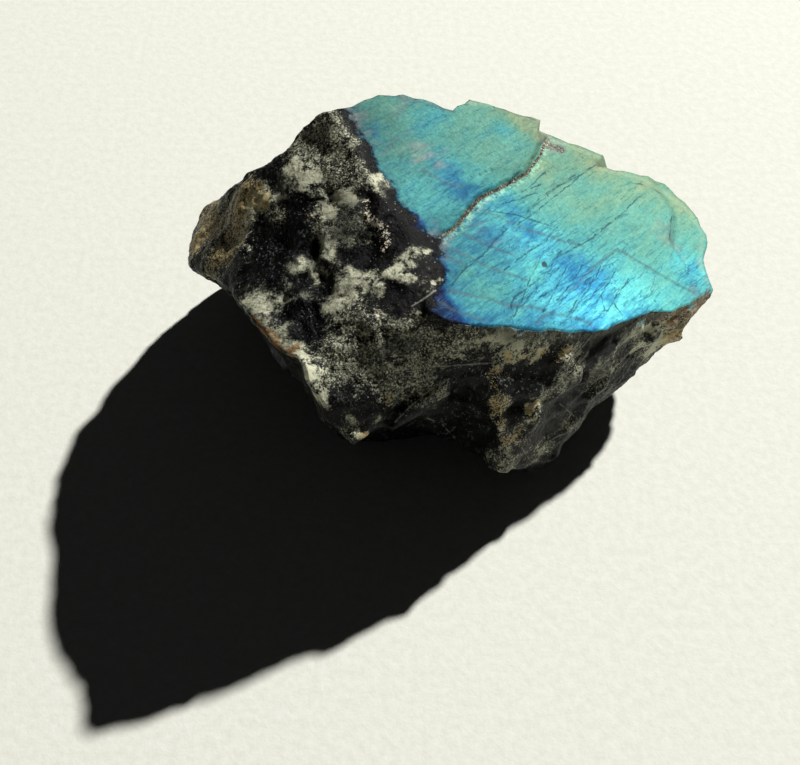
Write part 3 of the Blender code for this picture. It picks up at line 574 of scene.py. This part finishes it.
def make_stone():
    """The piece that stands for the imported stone: fine relief, and the broad colour fields as attributes."""
    bm = stone_in_mm()
    split_finely(bm)
    bm.verts.index_update()
    drop_flaps(bm)
    bm.verts.index_update()
    points = np.array([v.co for v in bm.verts])
    normals = np.array([v.normal for v in bm.verts])
    face = face_gap(points)
    lid = face_lid(points, facing_of(normals))
    edges = np.array([[v.index for v in edge.verts] for edge in bm.edges])
    loose = smooth_step(-face) * smooth_step(points[:, 2] - SOFTEN_FROM_Z) * SOFTEN_SHARE
    soft = softened(points, edges, loose)
    moved = soft + normals * relief(points, face, lid)[:, None]
    low, high = (np.array(corner) / MM for corner in cad_box)
    moved = np.clip(moved, low, high)
    moved[points[:, 2] < BASE_LEVEL, 2] = 0.0
    for v, place in zip(bm.verts, moved):
        v.co = Vector(place) * MM
    mesh = bpy.data.meshes.new("stone_fine")
    bm.to_mesh(mesh)
    bm.free()
    mesh.shade_smooth()
    mesh.set_sharp_from_angle(angle=SHARP_ANGLE)
    keep_field(mesh, "face", np.clip(face, -FACE_REACH, FACE_REACH))
    keep_field(mesh, "lid", lid)
    vein, side = gap_to_line(points, [on_face(p) for p in VEIN_PX])
    keep_field(mesh, "vein", vein)
    keep_field(mesh, "below", vein * side)
    fringe, _ = gap_to_line(points, [on_face(p) for p in FRINGE_PX])
    keep_field(mesh, "fringe", fringe)
    keep_field(mesh, "depth", -above_face(points))
    torn = wandering(points)
    keep_field(mesh, "hue", HUE_MIDDLE + HUE_TO_BACK * points[:, 1] + summed_spots(torn, HUE_SPOTS_PX))
    keep_field(mesh, "glow", GLOW_MIDDLE + GLOW_TO_TIP * points[:, 0] + summed_spots(torn, GLOW_SPOTS_PX))
    keep_field(mesh, "veil", summed_spots(torn, VEIL_SPOTS_PX))
    for name, spots in (
        ("pale", PALE_SPOTS_PX), ("grey", GREY_SPOTS_PX), ("tan", TAN_SPOTS_PX), ("rust", RUST_SPOTS_PX),
        ("painted_glint", PAINTED_GLINT_SPOTS_PX), ("black", BLACK_AND_SHADE_SPOTS_PX), ("smoke", SMOKE_SPOTS_PX),
        ("amber", AMBER_SPOTS_PX), ("gold_and_sparkle", GOLD_AND_SPARKLE_SPOTS_PX),
    ):
        keep_field(mesh, name, soft_spots(torn, spots, on_stone))
    stone = bpy.data.objects.new("labradorite_stone", mesh)
    bpy.context.scene.collection.objects.link(stone)
    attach(stone, "root")
    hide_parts(NODE)
    print(f"stone: {len(mesh.polygons)} triangles")
    return stone


# Materials


class Nodes:
    """Adds nodes to a tree by short calls. A value given for an input may be a number or a socket."""

    def __init__(self, tree):
        self.tree = tree

    def add(self, kind, inputs=(), **settings):
        node = self.tree.nodes.new(kind)
        for name, value in settings.items():
            setattr(node, name, value)
        for key, value in dict(inputs).items():
            self.feed(node.inputs[key], value)
        return node

    def feed(self, socket, value):
        if isinstance(value, bpy.types.NodeSocket):
            self.tree.links.new(value, socket)
        else:
            socket.default_value = value

    def math(self, operation, a, b=0.0, clamp=False):
        return self.add("ShaderNodeMath", {0: a, 1: b}, operation=operation, use_clamp=clamp).outputs[0]

    def vector(self, operation, a, b=(0.0, 0.0, 0.0), scale=1.0, out=0):
        node = self.add("ShaderNodeVectorMath", {0: a, 1: b}, operation=operation)
        if operation == "SCALE":
            self.feed(node.inputs["Scale"], scale)
        return node.outputs[out]

    def step(self, value, low, high, to_low=0.0, to_high=1.0):
        """A smooth change from one value to another while the input goes from low to high."""
        feeds = {"Value": value, "From Min": low, "From Max": high, "To Min": to_low, "To Max": to_high}
        return self.add("ShaderNodeMapRange", feeds, interpolation_type="SMOOTHSTEP").outputs[0]

    def mix(self, share, a, b, blend="MIX"):
        node = self.add("ShaderNodeMix", {0: share}, data_type="RGBA", blend_type=blend, clamp_factor=True)
        self.feed(node.inputs[6], a)
        self.feed(node.inputs[7], b)
        return node.outputs[2]

    def grey(self, value):
        return self.add("ShaderNodeCombineColor", {0: value, 1: value, 2: value}).outputs[0]

    def field(self, name):
        return self.add("ShaderNodeAttribute", attribute_name=name).outputs["Fac"]

    def noise(self, point, size, detail=3.0, rough=0.55, out=0):
        """Noise whose forms are about as wide as size, in the units of point."""
        feeds = {"Vector": point, "Scale": 1.0 / size, "Detail": detail, "Roughness": rough}
        return self.add("ShaderNodeTexNoise", feeds, noise_dimensions="3D").outputs[out]

    def cells(self, point, size):
        """A random division of space: each cell's own colour, and the distance from its middle."""
        return self.add("ShaderNodeTexVoronoi", {"Vector": point, "Scale": 1.0 / size}, feature="F1").outputs

    def ramp(self, value, stops):
        node = self.add("ShaderNodeValToRGB", {0: value})
        elements = node.color_ramp.elements
        while len(elements) < len(stops):
            elements.new(1.0)
        for element, (place, colour) in zip(elements, stops):
            element.position = place
            element.color = (*colour, 1.0)
        return node.outputs[0]


def rgb(*screen):
    """A screen colour of 0 to 255 as linear light."""
    return tuple((c / 255.0) / 12.92 if c <= 10 else ((c / 255.0 + 0.055) / 1.055) ** 2.4 for c in screen)


def rgba(red, green, blue):
    return (*rgb(red, green, blue), 1.0)


def flash(red, green, blue):
    """The base colour of the bright face where the photograph shows this screen colour at its brightest."""
    return tuple(max(0.0, (c / FLASH_LIGHT - FLASH_GLOSS) / FLASH_GAIN) for c in rgb(red, green, blue))


def squashed(place):
    """A point with most of its depth along the line of sight taken out, so that thin lines stay whole."""
    return place - SIGHT * (place.dot(SIGHT) * SQUASH)


def segment_group():
    """A reusable group: how near a point is to a straight run, one on its line and nought past its width."""
    tree = bpy.data.node_groups.new("near_a_run", "ShaderNodeTree")
    for name, kind in (
        ("Point", "NodeSocketVector"), ("From", "NodeSocketVector"), ("Way", "NodeSocketVector"),
        ("Length", "NodeSocketFloat"), ("Width", "NodeSocketFloat"),
    ):
        tree.interface.new_socket(name, in_out="INPUT", socket_type=kind)
    tree.interface.new_socket("Near", in_out="OUTPUT", socket_type="NodeSocketFloat")
    n = Nodes(tree)
    given = n.add("NodeGroupInput").outputs
    away = n.vector("SUBTRACT", given["Point"], given["From"])
    along = n.vector("DOT_PRODUCT", away, given["Way"], out=1)
    along = n.math("MINIMUM", n.math("MAXIMUM", along, 0.0), given["Length"])
    nearest = n.vector("SCALE", given["Way"], scale=along)
    gap = n.vector("DISTANCE", away, nearest, out=1)
    near = n.math("SUBTRACT", 1.0, n.math("DIVIDE", gap, given["Width"]), clamp=True)
    n.add("NodeGroupOutput", {"Near": near})
    return tree


def near_lines(n, group, point, lines, width):
    """How near a squashed point is to the nearest of some lines, each a list of corners."""
    best = None
    for line in lines:
        corners = [squashed(corner) for corner in line]
        for a, b in zip(corners, corners[1:]):
            run = b - a
            node = n.add("ShaderNodeGroup", node_tree=group)
            n.feed(node.inputs["Point"], point)
            node.inputs["From"].default_value = a
            node.inputs["Way"].default_value = run.normalized()
            node.inputs["Length"].default_value = run.length
            node.inputs["Width"].default_value = width
            best = node.outputs[0] if best is None else n.math("MAXIMUM", best, node.outputs[0])
    return best


def centred(n, value, reach):
    """A noise value moved to swing evenly round nought, as far as reach for its full range."""
    return n.math("MULTIPLY", n.math("SUBTRACT", value, 0.5), reach)


def torn_field(n, name, tear, swing):
    """A field of the mesh with a noise added, so that what is drawn from it has a torn border."""
    return n.math("ADD", n.field(name), centred(n, tear, swing))


# The cleavage face. Each noise is its size in millimetres, its octaves and its roughness. A STRETCH draws one
# out along the striations, a SWING is how far its full range moves what it is added to, a RANGE is where a
# blend starts and ends, and a SHARE is how much of a colour shows at most.
WIDE_STRETCH, HAIR_STRETCH, SCORE_STRETCH = (0.28, 1.0, 0.4), (0.12, 1.0, 0.2), (0.07, 1.0, 0.1)
DRIFT, STREAKS, CLOTH, HAIRS = (2.6, 3.0, 0.6), (0.8, 3.0, 0.65), (0.42, 4.0, 0.8), (0.36, 3.0, 0.75)
SCORES, SCORE_BEND, VEIL, VEIL_TONES = (0.62, 2.0, 0.5), (3.0, 1.0, 0.5), (1.1, 3.0, 0.6), (1.5, 3.0, 0.55)
WAVER, BREAKS, HALO = (1.6, 3.0, 0.6), (2.4, 1.0, 0.55), (0.8, 3.0, 0.7)
CRUMBLE, CRUMBS = (1.3, 5.0, 0.9), (0.34, 3.0, 0.85)

# The face's labradorescent flash, a sheen that comes with the angle of light, painted into the base colour
# from deep blue to yellow-green.
FLASH_STOPS = (
    (0.00, flash(20, 90, 165)), (0.15, flash(56, 150, 220)), (0.30, flash(94, 205, 240)),
    (0.45, flash(126, 242, 243)), (0.60, flash(142, 239, 224)), (0.75, flash(158, 233, 207)),
    (0.90, flash(176, 228, 190)), (1.00, flash(196, 228, 186)),
)
DRIFT_HUE_SWING, STREAK_HUE_SWING = 0.42, 0.34
CLOTH_GLOW_SWING, STREAK_GLOW_SWING, FACE_GAIN = 1.15, 0.75, 1.04
HAIR_RANGE, HAIR_SHARE, HAIR_TINT = (0.47, 0.30), 0.55, rgba(120, 160, 190)
SCORE_REACH, SCORE_RANGE, SCORE_SHARE, SCORE_COLOUR = 0.8, (0.035, 0.005), 0.6, rgba(20, 74, 104)
SCORED_SWING, SCORED_HUES = 0.9, (0.80, 0.34)
VEIL_SWING, VEIL_RANGE, VEIL_SHARE = 2.2, (0.25, 1.1), 0.42
VEIL_STOPS = ((0.35, rgb(96, 104, 124)), (0.65, rgb(142, 128, 112)))
WAVER_REACH = 0.9
CRACK_LINE, CRACK_RANGE, CRACK_SHARE, CRACK_COLOUR = 0.21, (0.1, 0.8), 0.8, rgba(18, 58, 76)
BREAK_RANGE, BREAK_SHARES = (0.26, 0.46), (0.4, 1.0)
VEIN_LINE, VEIN_RANGE, VEIN_SHARE, VEIN_COLOUR = 0.46, (-0.45, 0.5), 0.48, rgba(66, 76, 84)
FRINGE_SWING, FRINGE_RANGE, FRINGE_SHARE, FRINGE_COLOUR = 2.6, (0.8, -0.2), 0.22, rgba(190, 196, 164)
HALO_OUTER_RANGE, HALO_INNER_RANGE, HALO_PATCH_RANGE = (1.5, 0.5), (0.1, 0.4), (0.44, 0.6)
HALO_SHARE, HALO_COLOUR = 0.45, rgba(170, 206, 170)
CRUMBLE_REACH, CRUMBLE_RANGE = 0.46, (-0.02, 0.2)
PATCH_LEVEL, PATCH_SWING, PATCH_RANGE, PATCH_SHARE = 1.0, 1.2, (-0.1, 0.3), 0.8
RUBBLE_STOPS = (
    (0.38, rgb(22, 26, 26)), (0.52, rgb(80, 78, 66)), (0.62, rgb(144, 138, 120)), (0.72, rgb(238, 238, 230)),
)
SPOT_TEAR, SPOT_SHARE, SPOT_COLOUR = 0.3, 0.85, rgba(34, 38, 42)


def face_colour(n, point, flat, group):
    """The bright cleavage face, with its labradorescent sheen painted in: drifting hues, streaks, striations,
    cracks and its crumbly vein.
    """
    turned = n.add("ShaderNodeVectorRotate", {"Vector": point, "Angle": -STRIA_ANGLE}, rotation_type="Z_AXIS")
    turned = turned.outputs[0]
    wide = n.vector("MULTIPLY", turned, WIDE_STRETCH)

    drift = n.noise(wide, *DRIFT)
    streaks = n.noise(wide, *STREAKS)
    hue = torn_field(n, "hue", drift, DRIFT_HUE_SWING)
    hue = n.math("ADD", hue, centred(n, streaks, STREAK_HUE_SWING))
    colour = n.ramp(hue, FLASH_STOPS)

    cloth = n.noise(point, *CLOTH)
    play = n.math("ADD", centred(n, cloth, CLOTH_GLOW_SWING), centred(n, streaks, STREAK_GLOW_SWING))
    glow = n.math("MULTIPLY", n.field("glow"), n.math("ADD", play, 1.0))
    colour = n.mix(1.0, colour, n.grey(n.math("MULTIPLY", glow, FACE_GAIN)), "MULTIPLY")

    hairs = n.noise(n.vector("MULTIPLY", turned, HAIR_STRETCH), *HAIRS)
    hairs = n.step(hairs, *HAIR_RANGE, 0.0, HAIR_SHARE)
    colour = n.mix(hairs, colour, n.mix(1.0, colour, HAIR_TINT, "MULTIPLY"))
    thin = n.vector("MULTIPLY", turned, SCORE_STRETCH)
    bent = n.vector("ADD", thin, n.vector("SCALE", n.noise(point, *SCORE_BEND, out=1), scale=SCORE_REACH))
    scored = n.step(n.math("ABSOLUTE", centred(n, n.noise(bent, *SCORES), 1.0)), *SCORE_RANGE)
    scored = n.math("MULTIPLY", scored, n.step(torn_field(n, "hue", drift, SCORED_SWING), *SCORED_HUES))
    colour = n.mix(n.math("MULTIPLY", scored, SCORE_SHARE), colour, SCORE_COLOUR)

    veil = n.step(torn_field(n, "veil", n.noise(wide, *VEIL), VEIL_SWING), *VEIL_RANGE)
    tones = n.ramp(n.noise(point, *VEIL_TONES), VEIL_STOPS)
    colour = n.mix(n.math("MULTIPLY", veil, VEIL_SHARE), colour, tones)

    waver = n.vector("SUBTRACT", n.noise(point, *WAVER, out=1), (0.5, 0.5, 0.5))
    waver = n.vector("MULTIPLY", n.vector("SCALE", waver, scale=WAVER_REACH), (1.0, 1.0, 0.0))
    wavy = n.vector("ADD", flat, waver)
    cracks = near_lines(n, group, wavy, [[on_face(p) for p in line] for line in CRACKS_PX], CRACK_LINE)
    veins = near_lines(n, group, wavy, [[on_face(p) for p in line] for line in VEINS_PX], VEIN_LINE)
    veins = n.step(n.math("SUBTRACT", veins, drift), *VEIN_RANGE)
    colour = n.mix(n.math("MULTIPLY", veins, VEIN_SHARE), colour, VEIN_COLOUR)
    breaks = n.step(n.noise(point, *BREAKS), *BREAK_RANGE, *BREAK_SHARES)
    cracks = n.math("MULTIPLY", n.step(cracks, *CRACK_RANGE), breaks)
    colour = n.mix(n.math("MULTIPLY", cracks, CRACK_SHARE), colour, CRACK_COLOUR)

    fringe = n.step(torn_field(n, "fringe", streaks, FRINGE_SWING), *FRINGE_RANGE)
    colour = n.mix(n.math("MULTIPLY", fringe, FRINGE_SHARE), colour, FRINGE_COLOUR)
    below = n.field("below")
    halo = n.math("MULTIPLY", n.step(below, *HALO_OUTER_RANGE), n.step(below, *HALO_INNER_RANGE))
    halo = n.math("MULTIPLY", halo, n.step(n.noise(point, *HALO), *HALO_PATCH_RANGE))
    colour = n.mix(n.math("MULTIPLY", halo, HALO_SHARE), colour, HALO_COLOUR)

    rubble = n.math("SUBTRACT", n.step(n.field("vein"), CRUMBLE_REACH, 0.0), n.noise(point, *CRUMBLE))
    stone = n.ramp(n.noise(point, *CRUMBS), RUBBLE_STOPS)
    colour = n.mix(n.step(rubble, *CRUMBLE_RANGE), colour, stone)
    patch = n.math("ADD", n.math("SUBTRACT", n.field("veil"), PATCH_LEVEL), centred(n, cloth, PATCH_SWING))
    colour = n.mix(n.math("MULTIPLY", n.step(patch, *PATCH_RANGE), PATCH_SHARE), colour, stone)

    spot = n.vector("DISTANCE", flat, tuple(squashed(on_face(SPOT_PX))), out=1)
    spot = n.math("ADD", spot, n.math("MULTIPLY", cloth, SPOT_TEAR))
    spot = n.step(spot, SPOT_SIZE + SPOT_RIM[0], SPOT_SIZE + SPOT_RIM[1])
    return n.mix(n.math("MULTIPLY", spot, SPOT_SHARE), colour, SPOT_COLOUR)


# The dark rock, with the same kinds of values.
COARSE, MEDIUM, FINE, SALT = (1.9, 4.0, 0.62), (0.75, 4.0, 0.72), (0.30, 3.0, 0.85), (0.27, 2.0, 0.65)
COARSE_SWING, MEDIUM_SWING, FINE_SWING = 0.70, 0.85, 1.0
SALT_RANGE, SALT_LIGHT, ROCK_LIGHT = (0.48, 0.70), 0.10, 0.25
ROCK_STOPS = (
    (0.22, rgb(2, 2, 2)), (0.40, rgb(11, 12, 10)), (0.52, rgb(44, 45, 39)), (0.66, rgb(102, 102, 88)),
    (0.82, rgb(164, 166, 142)), (1.00, rgb(208, 208, 180)),
)
# Each mineral's field, how much lighter it is, how much its grains stand out, and the range of its border. The
# black field is partly dark mineral and partly painted shade.
MINERALS_AND_SHADE = (
    ("pale", 0.58, 0.04, (-0.70, 0.70)), ("grey", 0.34, 0.40, (-0.55, 0.55)),
    ("tan", 0.36, 1.40, (-0.5, 0.5)), ("black", -0.40, -0.2, (-0.4, 0.4)),
)
MINERAL_MEDIUM_SWING, MINERAL_COARSE_SWING = 1.4, 0.8
TAN_SWING, TAN_RANGE, TAN_SHARE, TAN_TINT = 1.2, (-0.1, 0.5), 0.85, rgba(255, 226, 178)
RUST_SWING, RUST_RANGE, RUST_SHARE, RUST_COLOUR = 1.6, (0.0, 0.6), 0.65, rgba(142, 100, 52)
AMBER_SWING, AMBER_RANGE, AMBER_SHARE, RESIN = 1.3, (-0.1, 0.4), 0.8, (0.35, 4.0, 0.75)
RESIN_STOPS = ((0.36, rgb(70, 50, 34)), (0.52, rgb(160, 128, 100)), (0.68, rgb(232, 220, 196)))
# Gold grains: warm mineral grains with painted sunlit sparkle laid on them.
GOLD_SWING, GOLD_RANGE, GOLD_GRAIN_RANGE, GOLD_SHARE = 1.4, (-0.1, 0.5), (0.53, 0.62), 0.8
GOLD_STOPS = ((0.4, rgb(150, 124, 84)), (0.6, rgb(226, 214, 186)))
SMOKE_RANGE, SMOKE_SHARE = (-0.1, 0.6), 0.6
SMOKE_STOPS = ((0.35, rgb(12, 14, 15)), (0.68, rgb(74, 80, 78)))
# Tiny pale dots in a few random cells: partly pale grains, partly painted sparkle.
SPECK_SIZE, SPECK_CHANCE, SPECK_RANGE = 1.0 / 3.6, (0.94, 0.97), (0.40, 0.20)
SPECK_SHARE, SPECK_COLOUR = 0.7, rgba(168, 168, 156)
# Painted glints: a noise and the spots above paint bright highlights into the rock's colour.
PAINTED_GLINTS, PAINTED_GLINT_WEIGHT, PAINTED_GLINT_SWING, PAINTED_GLINT_RANGE = (0.42, 3.0, 0.85), 0.5, 2.0, (0.22, 0.42)
PAINTED_GLINT_STOPS = ((0.4, rgb(255, 226, 176)), (0.6, rgb(255, 255, 240)))
FIBRE_BEND, FIBRE_REACH, FIBRE_STRETCH, FIBRES = (2.6, 2.0, 0.5), 2.4, (1.0, 0.9, 0.22), (0.36, 3.0, 0.7)
FIBRE_RANGE, FIBRE_DEPTHS, FIBRE_SHARE, FIBRE_COLOUR = (0.58, 0.68), (3.0, 7.0), 0.45, rgba(138, 146, 146)
WISP_LINE, WISP_RANGE, WISP_PATCH_RANGE, WISP_SHARE = 0.18, (0.1, 0.9), (0.3, 0.6), 0.6
WISP_COLOUR = rgba(176, 178, 166)


def rock_colour(n, point, flat, group):
    """The dark rock: black and grey grains, pale patches, tan and rust weathering, painted shade on the facets
    turned from the light, and tiny painted glints.
    """
    coarse = n.noise(point, *COARSE)
    medium = n.noise(point, *MEDIUM)
    fine = n.noise(point, *FINE)
    salt = n.step(n.noise(point, *SALT), *SALT_RANGE)
    light = n.math("ADD", centred(n, coarse, COARSE_SWING), centred(n, medium, MEDIUM_SWING))
    light = n.math("ADD", light, centred(n, fine, FINE_SWING))
    light = n.math("ADD", light, n.math("MULTIPLY", salt, SALT_LIGHT))
    light = n.math("ADD", light, ROCK_LIGHT)
    for name, weight, grains, reach in MINERALS_AND_SHADE:
        tear = centred(n, medium, MINERAL_MEDIUM_SWING)
        tear = n.math("ADD", tear, centred(n, coarse, MINERAL_COARSE_SWING))
        share = n.step(n.math("ADD", n.field(name), tear), *reach)
        light = n.math("ADD", light, n.math("MULTIPLY", share, weight))
        light = n.math("ADD", light, n.math("MULTIPLY", n.math("MULTIPLY", share, salt), grains))
    colour = n.ramp(light, ROCK_STOPS)

    tan = n.step(torn_field(n, "tan", medium, TAN_SWING), *TAN_RANGE)
    tanned = n.mix(1.0, colour, TAN_TINT, "MULTIPLY")
    colour = n.mix(n.math("MULTIPLY", tan, TAN_SHARE), colour, tanned)
    rust = n.step(torn_field(n, "rust", medium, RUST_SWING), *RUST_RANGE)
    colour = n.mix(n.math("MULTIPLY", rust, RUST_SHARE), colour, RUST_COLOUR)
    amber = n.step(torn_field(n, "amber", medium, AMBER_SWING), *AMBER_RANGE)
    resin = n.ramp(n.noise(point, *RESIN), RESIN_STOPS)
    colour = n.mix(n.math("MULTIPLY", amber, AMBER_SHARE), colour, resin)
    # Gold grains with painted sunlit sparkle.
    gold_and_sparkle = n.step(torn_field(n, "gold_and_sparkle", medium, GOLD_SWING), *GOLD_RANGE)
    gold_and_sparkle = n.math("MULTIPLY", gold_and_sparkle, n.step(fine, *GOLD_GRAIN_RANGE))
    colour = n.mix(n.math("MULTIPLY", gold_and_sparkle, GOLD_SHARE), colour, n.ramp(coarse, GOLD_STOPS))
    smoke = n.step(n.field("smoke"), *SMOKE_RANGE)
    colour = n.mix(n.math("MULTIPLY", smoke, SMOKE_SHARE), colour, n.ramp(coarse, SMOKE_STOPS))

    # Tiny pale dots: partly pale grains, partly painted sparkle.
    specks = n.cells(point, SPECK_SIZE)
    chance = n.add("ShaderNodeSeparateColor", {0: specks["Color"]}).outputs[0]
    dot = n.math("MULTIPLY", n.step(chance, *SPECK_CHANCE), n.step(specks["Distance"], *SPECK_RANGE))
    colour = n.mix(n.math("MULTIPLY", dot, SPECK_SHARE), colour, SPECK_COLOUR)
    # Painted glints: bright highlight colour laid over the rock where the noise and the spots rise.
    painted_glints_mask = centred(n, n.noise(point, *PAINTED_GLINTS), PAINTED_GLINT_SWING)
    painted_glints_mask = n.math("ADD", n.math("MULTIPLY", n.field("painted_glint"), PAINTED_GLINT_WEIGHT), painted_glints_mask)
    colour = n.mix(n.step(painted_glints_mask, *PAINTED_GLINT_RANGE), colour, n.ramp(medium, PAINTED_GLINT_STOPS))

    bend = n.vector("SCALE", n.noise(point, *FIBRE_BEND, out=1), scale=FIBRE_REACH)
    fibres = n.noise(n.vector("MULTIPLY", n.vector("ADD", point, bend), FIBRE_STRETCH), *FIBRES)
    fibres = n.math("MULTIPLY", n.step(fibres, *FIBRE_RANGE), n.step(n.field("depth"), *FIBRE_DEPTHS))
    colour = n.mix(n.math("MULTIPLY", fibres, FIBRE_SHARE), colour, FIBRE_COLOUR)
    wisps = near_lines(n, group, flat, [[on_stone(p) for p in line] for line in WISPS_PX], WISP_LINE)
    wisps = n.math("MULTIPLY", n.step(wisps, *WISP_RANGE), n.step(medium, *WISP_PATCH_RANGE))
    return n.mix(n.math("MULTIPLY", wisps, WISP_SHARE), colour, WISP_COLOUR)


# The border between the two, the slab's broken edge, and the gloss and fine bumps of both.
RAGGED, RAGGED_SWING, BORDER_RANGE = (1.9, 5.0, 0.75), 5.0, (-0.15, 0.30)
RIM, RIM_SWING, RIM_RANGE = (0.3, 3.0, 0.55), 0.3, (-0.1, 0.2)
TINT_RANGE, TINT = (0.0, 1.1), rgba(112, 124, 172)
SLAB_EDGE, SLAB_SWING, SLAB_DEPTHS, SLAB_BORDER = (1.4, 4.0, 0.7), 5.0, (3.4, 0.6), (0.0, 1.0)
SLAB_SHARE, SLAB_GRAIN = 0.6, (0.4, 4.0, 0.75)
SLAB_STOPS = ((0.35, rgb(36, 40, 36)), (0.52, rgb(92, 98, 88)), (0.68, rgb(158, 156, 134)))
GLOSS = (0.5, 3.0, 0.7)
ROCK_GLOSS_RANGE, ROCK_ROUGHNESS = (0.35, 0.65), (0.30, 0.55)
FACE_GLOSS_RANGE, FACE_ROUGHNESS = (0.3, 0.7), (0.55, 0.66)
SPECULAR_LEVEL = 0.10
BUMPS, BUMP_CELL_SIZE, BUMP_CELL_SHARE, BUMP_FACE_CALM = (0.22, 4.0, 0.7), 0.55, 0.5, 0.85
BUMP_STRENGTH, BUMP_DISTANCE = 0.7, 0.00018


def make_stone_material():
    material = bpy.data.materials.new("labradorite")
    material.use_nodes = True
    n = Nodes(material.node_tree)
    shader = material.node_tree.nodes["Principled BSDF"]
    place = n.add("ShaderNodeTexCoord").outputs["Object"]
    point = n.vector("SCALE", place, scale=1.0 / MM)
    group = segment_group()
    along_sight = n.math("MULTIPLY", n.vector("DOT_PRODUCT", point, tuple(SIGHT), out=1), SQUASH)
    flat = n.vector("SUBTRACT", point, n.vector("SCALE", tuple(SIGHT), scale=along_sight))

    border = torn_field(n, "face", n.noise(point, *RAGGED), RAGGED_SWING)
    on_top = n.step(torn_field(n, "lid", n.noise(point, *RIM), RIM_SWING), *RIM_RANGE)
    on_bright = n.math("MULTIPLY", n.step(border, *BORDER_RANGE), on_top)
    bright = face_colour(n, point, flat, group)
    tint = n.math("SUBTRACT", 1.0, n.step(border, *TINT_RANGE), clamp=True)
    bright = n.mix(tint, bright, n.mix(1.0, bright, TINT, "MULTIPLY"))
    rock = rock_colour(n, point, flat, group)
    slab = torn_field(n, "depth", n.noise(point, *SLAB_EDGE), SLAB_SWING)
    slab = n.math("MULTIPLY", n.step(slab, *SLAB_DEPTHS), n.step(n.field("face"), *SLAB_BORDER))
    slab = n.math("MULTIPLY", slab, n.math("SUBTRACT", 1.0, on_bright))
    rock = n.mix(n.math("MULTIPLY", slab, SLAB_SHARE), rock, n.ramp(n.noise(point, *SLAB_GRAIN), SLAB_STOPS))
    n.feed(shader.inputs["Base Color"], n.mix(on_bright, rock, bright))
    n.feed(shader.inputs["Metallic"], n.math("MULTIPLY", on_bright, FLASH_METAL))

    gloss = n.noise(point, *GLOSS)
    rock_rough = n.step(gloss, *ROCK_GLOSS_RANGE, *ROCK_ROUGHNESS)
    face_rough = n.step(gloss, *FACE_GLOSS_RANGE, *FACE_ROUGHNESS)
    rough = n.add("ShaderNodeMix", {0: on_bright, 2: rock_rough, 3: face_rough}, data_type="FLOAT")
    n.feed(shader.inputs["Roughness"], rough.outputs[0])
    shader.inputs["Specular IOR Level"].default_value = SPECULAR_LEVEL

    cells = n.math("MULTIPLY", n.cells(point, BUMP_CELL_SIZE)["Distance"], BUMP_CELL_SHARE)
    grain = n.math("ADD", n.noise(point, *BUMPS), cells)
    calm = n.math("SUBTRACT", 1.0, n.math("MULTIPLY", on_bright, BUMP_FACE_CALM))
    height = n.math("MULTIPLY", grain, calm)
    bump = n.add("ShaderNodeBump", {"Strength": BUMP_STRENGTH, "Distance": BUMP_DISTANCE, "Height": height})
    n.feed(shader.inputs["Normal"], bump.outputs[0])
    return material


# The paper and the light

# Metres, except for the size of the paper's grain.
PAPER_HALF, PAPER_DROP = 1.6, 0.0001
PAPER_GRAIN, PAPER_ROUGHNESS = (1.4, 4.0, 0.7), 0.9
PAPER_STOPS = ((0.3, rgb(226, 226, 214)), (0.7, rgb(236, 237, 227)))
PAPER_BUMP_STRENGTH, PAPER_BUMP_DISTANCE = 0.3, 0.0002
KEY_WAY = Vector((0.516, 0.534, 0.669)).normalized()
KEY_FAR, KEY_SIZE, KEY_POWER, KEY_COLOUR = 2.5, 0.09, 99.0, (1.0, 0.992, 0.972)
FILL_COLOUR, FILL_STRENGTH = (0.93, 0.96, 1.0, 1.0), 0.011


def make_floor():
    """Plain pale paper with a faint grain."""
    mesh = bpy.data.meshes.new("paper")
    corners = [(x * PAPER_HALF, y * PAPER_HALF, 0.0) for x, y in ((-1, -1), (1, -1), (1, 1), (-1, 1))]
    mesh.from_pydata(corners, [], [(0, 1, 2, 3)])
    floor = bpy.data.objects.new("paper", mesh)
    floor.location.z = -PAPER_DROP
    bpy.context.scene.collection.objects.link(floor)
    material = bpy.data.materials.new("paper")
    material.use_nodes = True
    n = Nodes(material.node_tree)
    shader = material.node_tree.nodes["Principled BSDF"]
    point = n.vector("SCALE", n.add("ShaderNodeTexCoord").outputs["Object"], scale=1.0 / MM)
    fleck = n.noise(point, *PAPER_GRAIN)
    n.feed(shader.inputs["Base Color"], n.ramp(fleck, PAPER_STOPS))
    shader.inputs["Roughness"].default_value = PAPER_ROUGHNESS
    feeds = {"Strength": PAPER_BUMP_STRENGTH, "Distance": PAPER_BUMP_DISTANCE, "Height": fleck}
    n.feed(shader.inputs["Normal"], n.add("ShaderNodeBump", feeds).outputs[0])
    mesh.materials.append(material)


def make_light():
    """One soft key light from the back right, and a faint even surround that fills the shadows."""
    data = bpy.data.lights.new("key", "AREA")
    data.shape = "DISK"
    data.size = KEY_SIZE
    data.energy = KEY_POWER
    data.color = KEY_COLOUR
    key = bpy.data.objects.new("key", data)
    key.location = KEY_WAY * KEY_FAR
    key.rotation_euler = (-KEY_WAY).to_track_quat("-Z", "Y").to_euler()
    bpy.context.scene.collection.objects.link(key)
    world = bpy.data.worlds.new("studio")
    world.use_nodes = True
    background = world.node_tree.nodes["Background"]
    background.inputs["Color"].default_value = FILL_COLOUR
    background.inputs["Strength"].default_value = FILL_STRENGTH
    bpy.context.scene.world = world


bpy.context.scene.view_settings.view_transform = "Standard"
EYE = make_camera()
coarse = stone_in_mm()
STONE_TREE = BVHTree.FromBMesh(coarse)
coarse.free()
stone = make_stone()
stone.data.materials.append(make_stone_material())
make_floor()
make_light()
